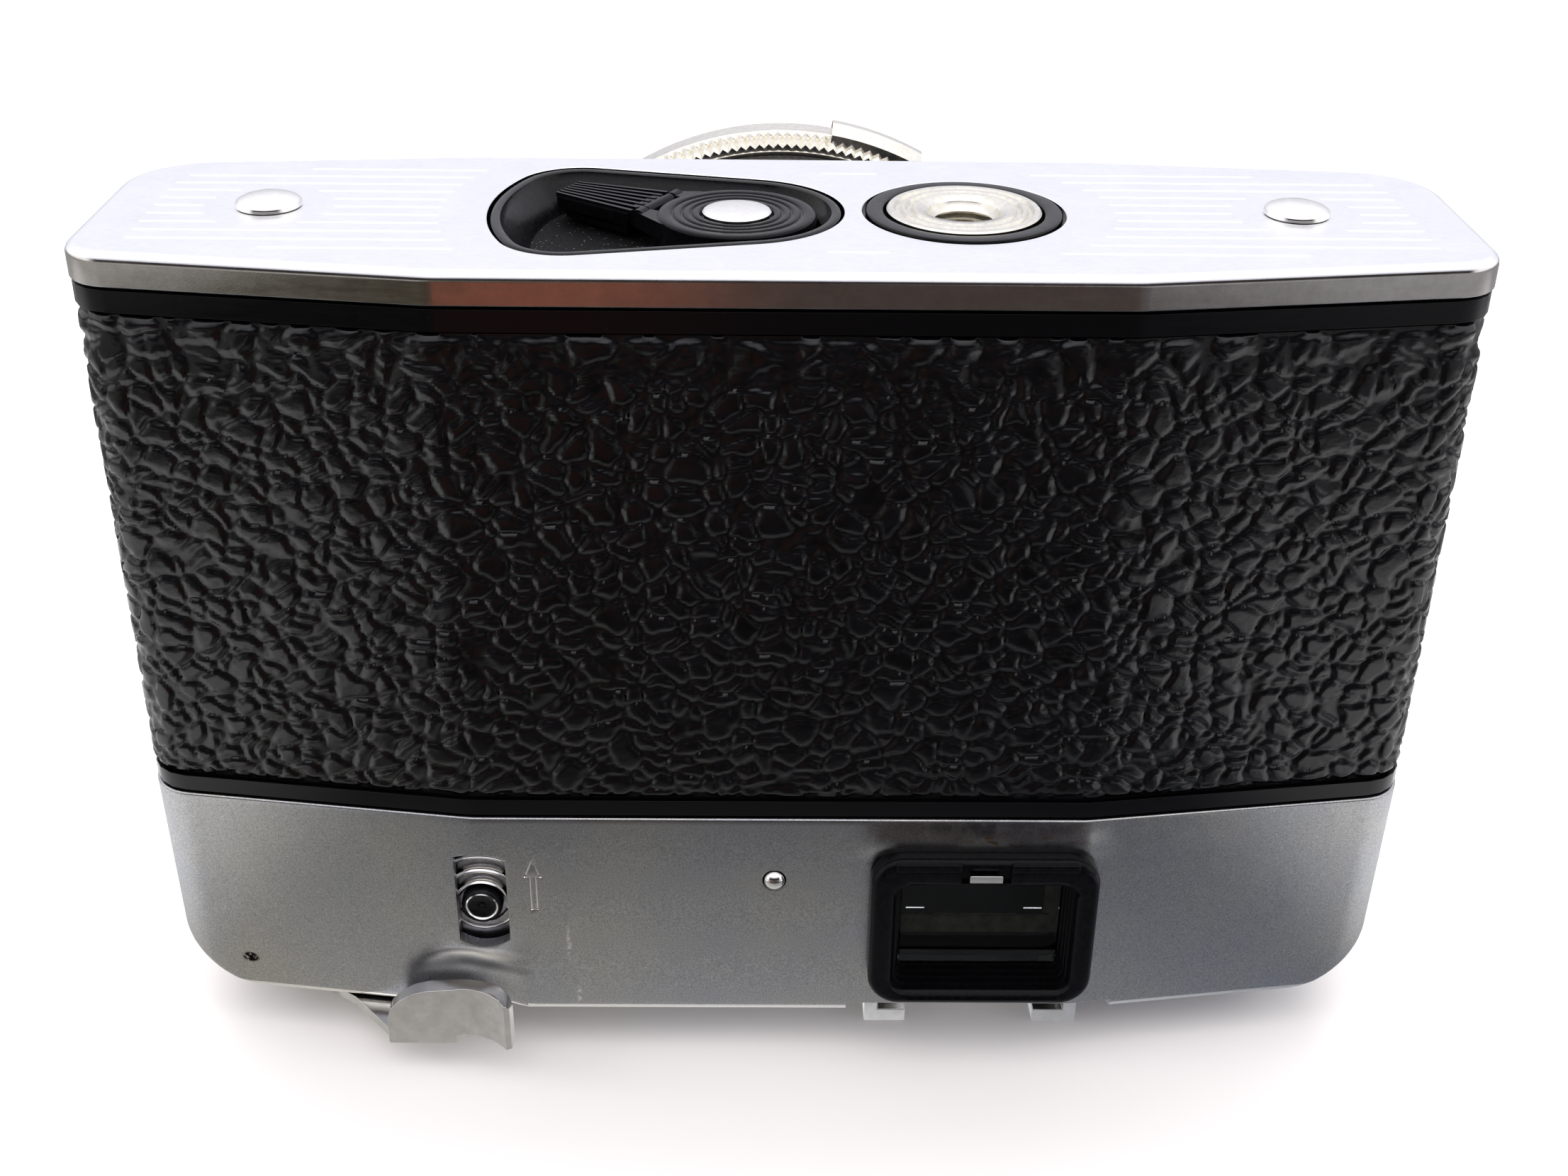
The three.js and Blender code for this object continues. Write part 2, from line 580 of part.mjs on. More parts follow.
function crankHandleGeometry() {
  const taper = (x0, half0, x1, half1, z0, z1) => prism([
    new THREE.Vector2(x0, -half0),
    new THREE.Vector2(x1, -half1),
    new THREE.Vector2(x1, half1),
    new THREE.Vector2(x0, half0),
  ], z0, z1);
  const grip = taper(9.0, 3.5, CRANK.tip, 2.1, 78.7, 79.9);
  const blade = taper(9.2, 3.4, CRANK.tip - 0.8, 1.7, 77.4, 78.1);
  const webs = [box(9.2, 10.6, -2.4, 3.2, 78, 79), box(14.8, CRANK.tip - 0.9, -1.8, 1.7, 78, 79)];
  const knuckle = post(0, 0, 0.6, -1.95, 1.95, 16).rotateX(Math.PI / 2).translate(CRANK.pinR, 0, CRANK.pinZ);
  const neck = box(CRANK.pinR, 9.6, -1.95, 1.95, 78.9, 79.8);
  const ribs = Array.from({ length: 7 }, (_, i) => {
    const at = (i - 3) / 3;
    return prism([
      new THREE.Vector2(9.0, at * 3.1 - 0.16),
      new THREE.Vector2(CRANK.tip, at * 1.75 - 0.1),
      new THREE.Vector2(CRANK.tip, at * 1.75 + 0.1),
      new THREE.Vector2(9.0, at * 3.1 + 0.16),
    ], 79.8, 80.2);
  });
  const pinBore = post(0, 0, 0.36, -5, 5, 12).rotateX(Math.PI / 2).translate(CRANK.pinR, 0, CRANK.pinZ);
  return cut(join(grip, blade, ...webs, knuckle, neck, ...ribs), pinBore);
}

part('crank_hub', crankHubGeometry(), plain('#131315', 0.22), crank);
part('crank_cap', turnedUp(0, 0, [
  [0, CRANK.top - 0.1], [3.0, CRANK.top - 0.1], [3.0, CRANK.top + 0.15], [2.4, CRANK.top + 0.3],
  [0, CRANK.top + 0.42],
], 24), metal('#f0ece4', 0.08), crank);
part('crank_handle', crankHandleGeometry(), plain('#151517', 0.3), crank);
part('crank_hinge_pin', new THREE.CylinderGeometry(0.28, 0.28, 6.6, 10)
  .translate(CRANK.pinR, -0.05, CRANK.pinZ), metal('#9c9ca0', 0.3), crank);

const gearMaterial = metal('#b59a56', 0.35);
const gearStep = 2 * GEAR.pitch;
part('crank_gear', gear(CRANK_X, 2.1), gearMaterial);
part('idler_gear_1', gear(CRANK_X + gearStep, 1.6), gearMaterial);
part('idler_gear_2', gear(CRANK_X + 2 * gearStep, 1.6), gearMaterial);
part('fork_gear', gear(CARTRIDGE_X, 2.4), gearMaterial);

function rewindForkGeometry() {
  const shaft = post(CARTRIDGE_X, AXIS_Y, 2.1, 71, 76.4, 20);
  const blades = box(CARTRIDGE_X - 3.4, CARTRIDGE_X + 3.4, AXIS_Y - 0.5, AXIS_Y + 0.5, 67, 72);
  const collar = post(CARTRIDGE_X, AXIS_Y, 3.4, 71, 72.8, 24);
  return join(shaft, blades, collar);
}

part('rewind_fork', rewindForkGeometry(), metal('#9a9a9e', 0.35));

// ---------------------------------------------------------------- film transport

function takeUpGeometry() {
  const spool = turnedUp(LEVER_X, AXIS_Y, [
    [0, 30.2], [9.8, 30.2], [9.8, 31.2], [5.2, 31.2], [5.2, 73.6], [9.8, 73.6], [9.8, 74.6], [1.3, 74.6],
    [1.3, 75.9], [0, 75.9],
  ], 24);
  return cut(spool, box(LEVER_X - 0.6, LEVER_X + 0.6, -12, 12, 44, 61));
}

part('take_up_spool', takeUpGeometry(), plain('#1a1a1c', 0.4));

function sprocketGeometry() {
  const shaft = turnedUp(0, 0, [
    [0, 28.5], [2.0, 28.5], [2.0, 37.2], [SPROCKET.r, 37.2], [SPROCKET.r, 39.4], [3.2, 39.4], [3.2, 65.6],
    [SPROCKET.r, 65.6], [SPROCKET.r, 67.8], [2.0, 67.8], [2.0, 74.9], [0, 74.9],
  ], 16);
  const teeth = [];
  for (let i = 0; i < 8; i += 1) {
    for (const z of [38.3, 66.7]) {
      teeth.push(box(4.6, SPROCKET.r + 0.7, -0.55, 0.55, z - 0.6, z + 0.6).rotateZ((i * Math.PI) / 4 + 0.4));
    }
  }
  return join(shaft, ...teeth).translate(SPROCKET.x, SPROCKET.y, 0);
}

part('sprocket_shaft', sprocketGeometry(), metal('#a4a4a8', 0.35));

part('lever_shaft', post(LEVER_X, AXIS_Y, 2.2, 4.3, 29.9, 24), metal('#8c8c90', 0.4));
part('lever_hub_cap', turnedUp(LEVER_X, AXIS_Y, [
  [0, 0], [6.2, 0], [6.8, 0.5], [6.8, 1.4], [0, 1.4],
], 28), metal('#b4b4b8', 0.25));

// The arm lies under the cover; the thumb plate stands up behind it and hooks outwards at its free end.
const LEVER = {
  low: 3.1, high: 4.1, hubLow: 1.7, left: -37.4, right: -25.2, tip: -20.9,
  face: -18.9, back: -17.4, plateTop: 12, hookX: -30.3, hookY: -24.3, hookR: 5.6, hookLow: 4, footTop: 6,
};

function leverPlate() {
  const { left, right, tip, face, back, hookX, hookY, hookR } = LEVER;
  const outer = hookR + 1.5;
  const front = arc(hookX, hookY, hookR, Math.PI / 2, Math.asin((tip - hookY) / hookR), 8);
  const rear = arc(hookX, hookY, outer, Math.acos((right - hookX) / outer), Math.PI / 2, 8);
  const plan = prism([
    new THREE.Vector2(left, face),
    new THREE.Vector2(hookX - 0.7, face),
    ...front,
    new THREE.Vector2(right - 0.15, tip + 0.25),
    ...rear,
    new THREE.Vector2(left, back),
  ], LEVER.hookLow, LEVER.plateTop);
  const profile = [
    [left, 3], [left, 6.2], [-36.95, 7.4], [-35.95, 8.4], [-34.7, 9.15], [-33.3, 9.5], [-31.5, 9.6],
    [-28, 9.65], [-26.4, 9.6], [-25.6, 9.2], [right, 8.4], [right, 3],
  ].map(([x, z]) => new THREE.Vector2(x, -z));
  return common(plan, prism(profile, tip - 1, back + 1).rotateX(-Math.PI / 2));
}

function leverGeometry() {
  const { low, high, hubLow, left, face, back, hookX, footTop } = LEVER;
  const hub = arc(LEVER_X, AXIS_Y, 6.4, 0.1, Math.PI + 0.35, 14);
  const boss = post(LEVER_X, AXIS_Y, 5.4, hubLow, low + 0.1, 28);
  const arm = prism([
    ...hub,
    new THREE.Vector2(-44.5, -11.5),
    new THREE.Vector2(-41.7, -13.4),
    new THREE.Vector2(left - 0.3, face + 1.1),
    new THREE.Vector2(left, face),
    new THREE.Vector2(hookX - 0.7, face),
    new THREE.Vector2(hookX, face + 0.8),
    new THREE.Vector2(-30.5, -15),
  ], low, high);
  const footing = box(left, hookX - 0.7, face, back, low, footTop);
  return join(arm, boss, footing, leverPlate());
}

part('advance_lever', leverGeometry(), metal('#9c9ca0', 0.3));

part('frame_counter_dial', cut(
  post(COUNTER.x, COUNTER.y, COUNTER.r, 6.1, 6.9, 28),
  post(COUNTER.x, COUNTER.y, 1.0, 0, 10, 12),
), plain('#1a1a1a', 0.5));
part('counter_window', post(COUNTER.x, COUNTER.y + COUNTER.windowY, COUNTER.windowR, 4.6, 5.5, 24),
  plain('#c8d0d4', 0.05));

// ---------------------------------------------------------------- shutter release

part('release_button', turnedUp(BUTTON.x, BUTTON.y, [
  [0, 2.3], [3.2, 2.35], [4.3, 2.7], [BUTTON.r, 3.2], [BUTTON.r, 6.9], [1.6, 6.9], [1.6, 17.5], [0, 17.5],
], 24), metal('#c4c4c8', 0.2));
part('release_collar', turnedUp(BUTTON.x, BUTTON.y, loop([
  [5.2, 3.3], [6.3, 3.3], [6.6, 3.6], [6.6, 4.15], [5.2, 4.15],
]), 28), metal('#b8b8bc', 0.25));
part('release_bracket', cut(
  box(-27, -13, 2, 9, 13.6, 14.8),
  post(BUTTON.x, BUTTON.y, 2.1, 10, 20, 20),
), metal('#8a8a8c', 0.4));

function coilSpring(x, y, radius, wire, z0, z1, turns) {
  class Helix extends THREE.Curve {
    getPoint(t, target = new THREE.Vector3()) {
      const a = 2 * Math.PI * turns * t;
      return target.set(x + radius * Math.cos(a), y + radius * Math.sin(a), z0 + (z1 - z0) * t);
    }
  }
  const section = new THREE.Shape(arc(0, 0, wire, 0, 2 * Math.PI, 5).slice(0, -1));
  return new THREE.ExtrudeGeometry(section, {
    steps: turns * 9,
    extrudePath: new Helix(),
    bevelEnabled: false,
  });
}

part('release_spring', coilSpring(BUTTON.x, BUTTON.y, 2.9, 0.3, 7.4, 13.0, 4), metal('#a0a0a4', 0.3));

// ---------------------------------------------------------------- accessory shoe

function shoeGeometry() {
  const block = box(SHOE.x0, SHOE.x1, SHOE.y0, SHOE.y1, 0, 5.4);
  const channel = box(SHOE.x0 + 1.3, SHOE.x1 - 1.3, SHOE.y0 - 1, SHOE.y1 - 1.4, SHOE.flange, SHOE.roof);
  const slot = box(SHOE.slot0, SHOE.slot1, SHOE.y0 - 1, SHOE.y1 - 1.4, -1, SHOE.flange + 0.5);
  const middle = (SHOE.slot0 + SHOE.slot1) / 2;
  return cut(block, channel, slot, post(middle, -1.2, 2.2, 0, 10, 20));
}

part('accessory_shoe', shoeGeometry(), metal('#b8b8bc', 0.25));
part('shoe_contact', post((SHOE.slot0 + SHOE.slot1) / 2, -1.2, 1.6, 3.7, 5.3, 20), metal('#c4a86a', 0.3));

// ---------------------------------------------------------------- eyepiece and finder

const WALL_REAR = -16.55;
const eyepieceMaterial = plain('#111113', 0.35);

function eyepieceGeometry() {
  const [x0, x1, z0, z1] = EYE.hole;
  const flange = roundedPanel(EYE.x0, EYE.x1, EYE.z0, EYE.z1, 3, -18.4, WALL_REAR, 5);
  const neck = box(x0 - 1.1, x1 + 1.1, WALL_REAR - 0.1, -13.1, z0 - 1.1, z1 + 1.1);
  const mouth = roundedPanel(x0, x1, z0, z1, 1.4, -19, -15.0, 4);
  const seat = box(x0 + 0.5, x1 - 0.5, -16, -12, z0 + 0.5, z1 - 0.5);
  const lipGap = box(16.9, 21.5, -19, -17.9, z1 + 0.6, z1 + 2.3);
  return cut(join(flange, neck), mouth, seat, lipGap);
}

part('eyepiece_frame', eyepieceGeometry(), eyepieceMaterial);
part('eyepiece_glass', box(EYE.hole[0] + 0.8, EYE.hole[1] - 0.8, -14.6, -13.4, EYE.hole[2] + 0.8,
  EYE.hole[3] - 0.8), plain('#9aa6a8', 0.03));
part('eyepiece_catch', prism([
  new THREE.Vector2(17.6, -18.55),
  new THREE.Vector2(20.7, -18.55),
  new THREE.Vector2(20.2, -18.15),
  new THREE.Vector2(18.1, -18.15),
], EYE.hole[3] + 0.8, EYE.hole[3] + 1.6), metal('#8a8a90', 0.3));

function finderGeometry() {
  const { x0, x1, z0, z1, y0, y1, wall } = FINDER;
  return cut(
    box(x0, x1, y0, y1, z0, z1),
    box(x0 + wall, x1 - wall, y0 - 1, y1 + 1, z0 + wall, z1 - wall),
  );
}

part('viewfinder_housing', finderGeometry(), plain('#161618', 0.5));
part('viewfinder_objective', box(FINDER.x0 + 1.3, FINDER.x1 - 1.3, 9.6, 11.0, FINDER.z0 + 1.3,
  FINDER.z1 - 1.3), plain('#9aa6b0', 0.03));
part('front_window_frame', cut(
  roundedPanel(FINDER.x0 + 0.4, FINDER.x1 + 0.1, FINDER.z0 + 0.4, FINDER.z1 - 0.2, 1.5, 16.5, 17.3, 4),
  box(FINDER.x0 + 2.4, FINDER.x1 - 1.9, 10, 20, FINDER.z0 + 2.5, FINDER.z1 - 2.3),
), eyepieceMaterial);
part('viewfinder_front_window', box(FINDER.x0 + 2.2, FINDER.x1 - 1.7, 14.8, 15.9, FINDER.z0 + 2.3,
  FINDER.z1 - 2.1), plain('#9aa6b0', 0.03));

// ---------------------------------------------------------------- rewind release slider, indicator pin

function sliderGeometry() {
  const plate = box(SLIDER.x0 - 1.0, SLIDER.x1 + 1.0, -14.2, -12.6, 12.8, 23.6);
  const tail = box(SLIDER.x0 - 1.0, SLIDER.x1 + 1.0, -13.3, -12.6, 9.2, 13);
  const button = rod(SLIDER.buttonX, SLIDER.buttonZ, 1.9, -15.6, -14, 20);
  const ribs = [0, 1, 2].map((i) => common(
    cut(
      rod(SLIDER.buttonX, SLIDER.buttonZ, 3.0 + i * 1.2 + 0.55, -14.45, -14, 24),
      rod(SLIDER.buttonX, SLIDER.buttonZ, 3.0 + i * 1.2, -16, -13, 24),
    ),
    box(SLIDER.x0 - 0.9, SLIDER.x1 + 0.9, -16, -13, SLIDER.buttonZ + 1.9, 23.2),
  ));
  return join(plate, tail, button, ...ribs);
}

part('rewind_slider', sliderGeometry(), metal('#77777a', 0.35));
function indicatorPinGeometry() {
  const profile = [[0, -16.9], [0.55, -16.75], [0.85, -16.4], [PIN.r, -16.0], [PIN.r, -13], [0, -13]];
  const points = profile.map(([r, y]) => new THREE.Vector2(r, y));
  return new THREE.LatheGeometry(points, 16).translate(PIN.x, 0, PIN.z);
}

part('indicator_pin', indicatorPinGeometry(), metal('#c8c8cc', 0.15));

// ---------------------------------------------------------------- lens and shutter

const blackMetal = plain('#121214', 0.3);

part('lens_barrel', turnedOnLens(loop([
  [17.9, 15.85], [24.3, 15.85], [24.3, 16.7], [26.2, 16.7], [26.2, 22.3], [22.4, 22.3], [22.4, 30.9],
  [17.9, 30.9],
])), blackMetal);
part('shutter_housing', turnedOnLens(loop([[10.8, 3.0], [17.2, 3.0], [17.2, 22], [10.8, 22]]), 28), blackMetal);

const hexagon = new THREE.CylinderGeometry(3.2, 3.2, 4, 6).translate(0, 12, LENS_Z);
part('shutter_blades', cut(rod(0, LENS_Z, 10.4, 11.7, 12.3, 32), hexagon), metal('#3a3a3e', 0.3));
part('rear_lens_cell', turnedOnLens(loop([[8.3, 5.0], [10.4, 5.0], [10.4, 9.5], [8.3, 9.5]]), 24), blackMetal);
part('rear_lens_element', turnedOnLens([
  [0, 5.2], [8.0, 6.2], [8.0, 7.6], [4, 8.6], [0, 8.9],
], 24), plain('#aab4bc', 0.02));

const FOCUS = { r: 28, root: 27.4, teeth: 110, y0: 22.7, y1: 27.5, bore: 22.7, tabR: 29.4 };

function focusRingGeometry() {
  const teeth = [];
  for (let i = 0; i < FOCUS.teeth; i += 1) {
    const step = (2 * Math.PI) / FOCUS.teeth;
    teeth.push(...arc(0, 0, FOCUS.r, i * step - 0.25 * step, i * step + 0.25 * step, 1));
    teeth.push(...arc(0, 0, FOCUS.root, i * step + 0.5 * step, i * step + 0.5 * step, 1).slice(1));
  }
  const ring = prism(teeth, FOCUS.y0, FOCUS.y1);
  const tabEnds = [Math.acos(14 / FOCUS.tabR), Math.acos(5 / FOCUS.tabR)];
  const tab = prism([
    ...arc(0, 0, FOCUS.tabR, -tabEnds[1], -tabEnds[0], 10),
    ...arc(0, 0, FOCUS.root - 1, -tabEnds[0], -tabEnds[1], 6),
  ], FOCUS.y0 + 1.2, FOCUS.y1 - 1);
  const upright = cut(join(ring, tab), post(0, 0, FOCUS.bore, 0, 40, 36));
  return upright.rotateX(-Math.PI / 2).translate(0, 0, LENS_Z);
}

part('focus_ring', focusRingGeometry(), metal('#cfcfca', 0.25));
part('exposure_ring', turnedOnLens(loop([
  [22.7, 27.8], [25.4, 27.8], [25.4, 30.8], [22.7, 30.8],
])), blackMetal);
part('front_bezel', turnedOnLens(loop([
  [9.6, 25.0], [17.6, 25.0], [17.6, 31.2], [24.4, 31.2], [24.4, 33.0], [23.8, 33.4], [20.0, 33.4], [9.6, 29.0],
])), plain('#0e0e10', 0.35));
part('front_lens_element', turnedOnLens([
  [0, 23.6], [9.3, 24.9], [9.3, 26.2], [5, 27.6], [0, 28.0],
], 28), plain('#aab4c4', 0.02));

// ---------------------------------------------------------------- frame

// The lens reaches further forward than the eyepiece and lever reach back: centre the whole on Y.
camera.position.y = -(33.4 + LEVER.tip) / 2;

const model = new THREE.Group();
model.add(camera);

export default model;
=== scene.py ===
"""Compact 35 mm viewfinder camera with a fixed lens, standing upside down on its accessory shoe.

Runs in Blender 4.5 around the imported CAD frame. Shapes are worked out in camera millimetres: +X to the
right seen from the back, +Y out of the lens, +Z towards the base plate, with y = 0 in the middle of the
body. row() turns them into the metres of the frame.
"""

import json
import math

import bmesh
import bpy
from mathutils import Matrix, Vector, noise

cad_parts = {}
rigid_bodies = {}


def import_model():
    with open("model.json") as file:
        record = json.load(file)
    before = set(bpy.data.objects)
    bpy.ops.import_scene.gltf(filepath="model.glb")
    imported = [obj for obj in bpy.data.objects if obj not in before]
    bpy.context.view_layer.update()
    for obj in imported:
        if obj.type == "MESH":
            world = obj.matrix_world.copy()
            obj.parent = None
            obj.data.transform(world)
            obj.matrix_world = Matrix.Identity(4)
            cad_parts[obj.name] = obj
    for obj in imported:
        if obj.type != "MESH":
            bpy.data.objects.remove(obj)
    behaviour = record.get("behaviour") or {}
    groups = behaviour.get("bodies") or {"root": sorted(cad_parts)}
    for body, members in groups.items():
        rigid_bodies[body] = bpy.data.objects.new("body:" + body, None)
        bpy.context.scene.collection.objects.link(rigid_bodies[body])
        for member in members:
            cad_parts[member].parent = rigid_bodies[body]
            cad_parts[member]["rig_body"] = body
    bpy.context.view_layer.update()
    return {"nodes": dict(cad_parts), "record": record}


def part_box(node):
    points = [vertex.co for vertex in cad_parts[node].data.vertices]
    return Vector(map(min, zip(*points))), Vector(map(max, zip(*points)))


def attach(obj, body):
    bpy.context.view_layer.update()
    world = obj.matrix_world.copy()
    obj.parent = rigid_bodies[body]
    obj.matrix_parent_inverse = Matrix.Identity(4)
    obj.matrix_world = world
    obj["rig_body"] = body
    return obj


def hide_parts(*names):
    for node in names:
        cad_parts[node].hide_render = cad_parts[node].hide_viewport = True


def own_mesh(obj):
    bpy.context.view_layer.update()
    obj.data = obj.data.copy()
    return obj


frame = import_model()
BODIES = {name: node["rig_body"] for name, node in frame["nodes"].items()}
SLOTS = {part["node"]: part["material_slot"] for part in frame["record"]["subparts"]}

MM = 0.001


def span(node):
    """Lowest and highest corner of a CAD node in camera millimetres."""
    low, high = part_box(node)
    shift = Vector((0, SHIFT_Y, 0))
    return low / MM - shift, high / MM - shift


SHIFT_Y = 0.0
BASE_LOW, BASE_HIGH = span("base_cover")
SHIFT_Y = (BASE_LOW.y + BASE_HIGH.y) / 2
BASE_LOW, BASE_HIGH = span("base_cover")
COVER_LOW, COVER_HIGH = span("top_cover")

# Plan outline of the body: a long octagon, its back nearer than its front.
WIDTH = BASE_HIGH.x - BASE_LOW.x
DEPTH = BASE_HIGH.y - BASE_LOW.y
FACET_X = 28.4
REAR_SWEEP = 4.3
FRONT_SWEEP = 3.0
REAR_CORNER = 4.4
FRONT_CORNER = 7.3
FACET_ROUND = 9

AXIS_Y = (span("crank_cap")[0].y + span("crank_cap")[1].y) / 2
CRANK_X = (span("crank_cap")[0].x + span("crank_cap")[1].x) / 2
TRIPOD_X = (span("tripod_ring")[0].x + span("tripod_ring")[1].x) / 2
FOOT_X = (span("base_foot_right")[0].x + span("base_foot_right")[1].x) / 2
LENS_Z = (span("lens_barrel")[0].z + span("lens_barrel")[1].z) / 2
CRANK_ANGLE = math.radians(152.5)


# ---------------------------------------------------------------- mesh helpers


def row(x, y, z):
    """Camera millimetres as a point of the frame."""
    return Vector((x, y + SHIFT_Y, z)) * MM


def add_object(name, mesh):
    piece = bpy.data.objects.new(name, mesh)
    bpy.context.scene.collection.objects.link(piece)
    return piece


def mesh_object(name, points, faces):
    """A piece from camera-millimetre points, its faces turned outwards."""
    mesh = bpy.data.meshes.new(name)
    mesh.from_pydata([row(*p) for p in points], [], faces)
    work = bmesh.new()
    work.from_mesh(mesh)
    bmesh.ops.recalc_face_normals(work, faces=work.faces)
    work.to_mesh(mesh)
    work.free()
    return add_object(name, mesh)


def loft(name, levels, ring=False):
    """Skin over outlines with equal point counts: capped at both ends, or joined end to end as a ring."""
    count = len(levels[0])
    points = [p for level in levels for p in level]
    faces = []
    pairs = len(levels) if ring else len(levels) - 1
    for k in range(pairs):
        a, b = k * count, ((k + 1) % len(levels)) * count
        for i in range(count):
            j = (i + 1) % count
            faces.append((a + i, a + j, b + j, b + i))
    if not ring:
        faces.append(tuple(range(count))[::-1])
        faces.append(tuple(range(len(points) - count, len(points))))
    return mesh_object(name, points, faces)


def lathe(name, profile, centre, axis="Z", sides=96, ring=False):
    """Profile of (radius, height) pairs turned about an upright axis or one along the lens."""
    cx, cy = centre
    levels = []
    for r, h in profile:
        level = []
        for i in range(sides):
            a = 2 * math.pi * i / sides
            u, v = cx + r * math.cos(a), cy + r * math.sin(a)
            level.append((u, v, h) if axis == "Z" else (u, h, v))
        levels.append(level)
    return loft(name, levels, ring)


def box_object(name, low, high):
    corners = [(x, y, z) for x in (low[0], high[0]) for y in (low[1], high[1]) for z in (low[2], high[2])]
    faces = [(0, 1, 3, 2), (4, 6, 7, 5), (0, 4, 5, 1), (2, 3, 7, 6), (0, 2, 6, 4), (1, 5, 7, 3)]
    return mesh_object(name, corners, faces)


def prism(name, outline, z0, z1):
    return loft(name, [[(x, y, z0) for x, y in outline], [(x, y, z1) for x, y in outline]])


def prism_y(name, outline, y0, y1):
    """Outline of (x, z) pairs raised along the lens axis."""
    return loft(name, [[(x, y0, z) for x, z in outline], [(x, y1, z) for x, z in outline]])


def settle(piece):
    """Applies the piece's modifiers to its mesh."""
    graph = bpy.context.evaluated_depsgraph_get()
    made = bpy.data.meshes.new_from_object(piece.evaluated_get(graph))
    piece.modifiers.clear()
    old, piece.data = piece.data, made
    bpy.data.meshes.remove(old)
    return piece


def combine(piece, tools, operation):
    """Boolean of the piece with each tool, which is then removed."""
    for tool in tools:
        step = piece.modifiers.new(operation, "BOOLEAN")
        step.operation = operation
        step.solver = "EXACT"
        step.object = tool
    settle(piece)
    for tool in tools:
        mesh = tool.data
        bpy.data.objects.remove(tool)
        bpy.data.meshes.remove(mesh)
    return piece


def carve(piece, *tools):
    return combine(piece, tools, "DIFFERENCE")


def weld_on(piece, *tools):
    return combine(piece, tools, "UNION")


def merge(name, *pieces):
    """Separate meshes as one cutter."""
    work = bmesh.new()
    for piece in pieces:
        work.from_mesh(piece.data)
        mesh = piece.data
        bpy.data.objects.remove(piece)
        bpy.data.meshes.remove(mesh)
    mesh = bpy.data.meshes.new(name)
    work.to_mesh(mesh)
    work.free()
    return add_object(name, mesh)


def soften(piece, width, segments=2, angle=32):
    """Rounds every edge sharper than the angle by the width in millimetres."""
    step = piece.modifiers.new("edges", "BEVEL")
    step.width = width * MM
    step.segments = segments
    step.limit_method = "ANGLE"
    step.angle_limit = math.radians(angle)
    step.use_clamp_overlap = True
    step.harden_normals = False
    return settle(piece)


def shade(piece, angle=38):
    """Smooth shading that breaks at edges sharper than the angle, with flat faces kept flat."""
    mesh = piece.data
    mesh.polygons.foreach_set("use_smooth", [True] * len(mesh.polygons))
    mesh.set_sharp_from_angle(angle=math.radians(angle))
    step = piece.modifiers.new("normals", "WEIGHTED_NORMAL")
    step.keep_sharp = True
    return settle(piece)


def place(piece, material, body, slot, *nodes):
    """Gives the piece its material, when it has none, and its body, and hides the CAD nodes that it stands for. The
    slot is not used.
    """
    if not piece.data.materials:
        piece.data.materials.append(material)
    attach(piece, body)
    if nodes:
        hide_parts(*nodes)
    return piece


def stand_in(piece, node):
    """Places a detailed piece for one CAD node, on that node's body, with the material of that node's slot."""
    slot = SLOTS[node]
    return place(piece, MATERIALS[slot], BODIES[node], slot, node)


def refine(node, width, segments=2, angle=32):
    """A CAD node's shape with merged faces and rounded edges, in place of the node."""
    piece = add_object(node + "_fine", frame["nodes"][node].data.copy())
    piece.data.materials.clear()
    work = bmesh.new()
    work.from_mesh(piece.data)
    bmesh.ops.remove_doubles(work, verts=work.verts, dist=0.002 * MM)
    bmesh.ops.dissolve_limit(
        work, angle_limit=math.radians(1), verts=work.verts, edges=work.edges
    )
    work.to_mesh(piece.data)
    work.free()
    if width:
        soften(piece, width, segments, angle)
    shade(piece)
    return stand_in(piece, node)


# ---------------------------------------------------------------- outlines


def arc(cx, cy, r, a, b, steps):
    return [
        (cx + r * math.cos(a + (b - a) * i / steps), cy + r * math.sin(a + (b - a) * i / steps))
        for i in range(steps + 1)
    ]


def round_corner(before, corner, after, r, steps):
    q = Vector(corner)
    u = (Vector(before) - q).normalized()
    v = (Vector(after) - q).normalized()
    half = math.acos(u.dot(v)) / 2
    centre = q + (u + v).normalized() * (r / math.sin(half))
    start = q + u * (r / math.tan(half)) - centre
    a = math.atan2(start.y, start.x)
    return arc(centre.x, centre.y, r, a, a + math.pi - 2 * half, steps)


def outline(inset, ends=0.0, corner_steps=10, bend_steps=4):
    """Plan outline, anticlockwise, drawn inset inside the widest line with its ends pulled in more."""
    end_x = WIDTH / 2 - inset - ends
    rear, front = -DEPTH / 2 + inset, DEPTH / 2 - inset
    reach = WIDTH / 2 - FACET_X
    rear_end = rear + REAR_SWEEP * (end_x - FACET_X) / reach
    front_end = front - FRONT_SWEEP * (end_x - FACET_X) / reach
    rear_r = max(REAR_CORNER - inset, 0.5)
    front_r = max(FRONT_CORNER - inset, 0.5)
    corners = [
        ((-FACET_X, rear), FACET_ROUND, bend_steps),
        ((FACET_X, rear), FACET_ROUND, bend_steps),
        ((end_x, rear_end), rear_r, corner_steps),
        ((end_x, front_end), front_r, corner_steps),
        ((FACET_X, front), FACET_ROUND, bend_steps),
        ((-FACET_X, front), FACET_ROUND, bend_steps),
        ((-end_x, front_end), front_r, corner_steps),
        ((-end_x, rear_end), rear_r, corner_steps),
    ]
    points = []
    for i, (at, r, steps) in enumerate(corners):
        before, after = corners[i - 1][0], corners[(i + 1) % len(corners)][0]
        points += round_corner(before, at, after, r, steps)
    return points


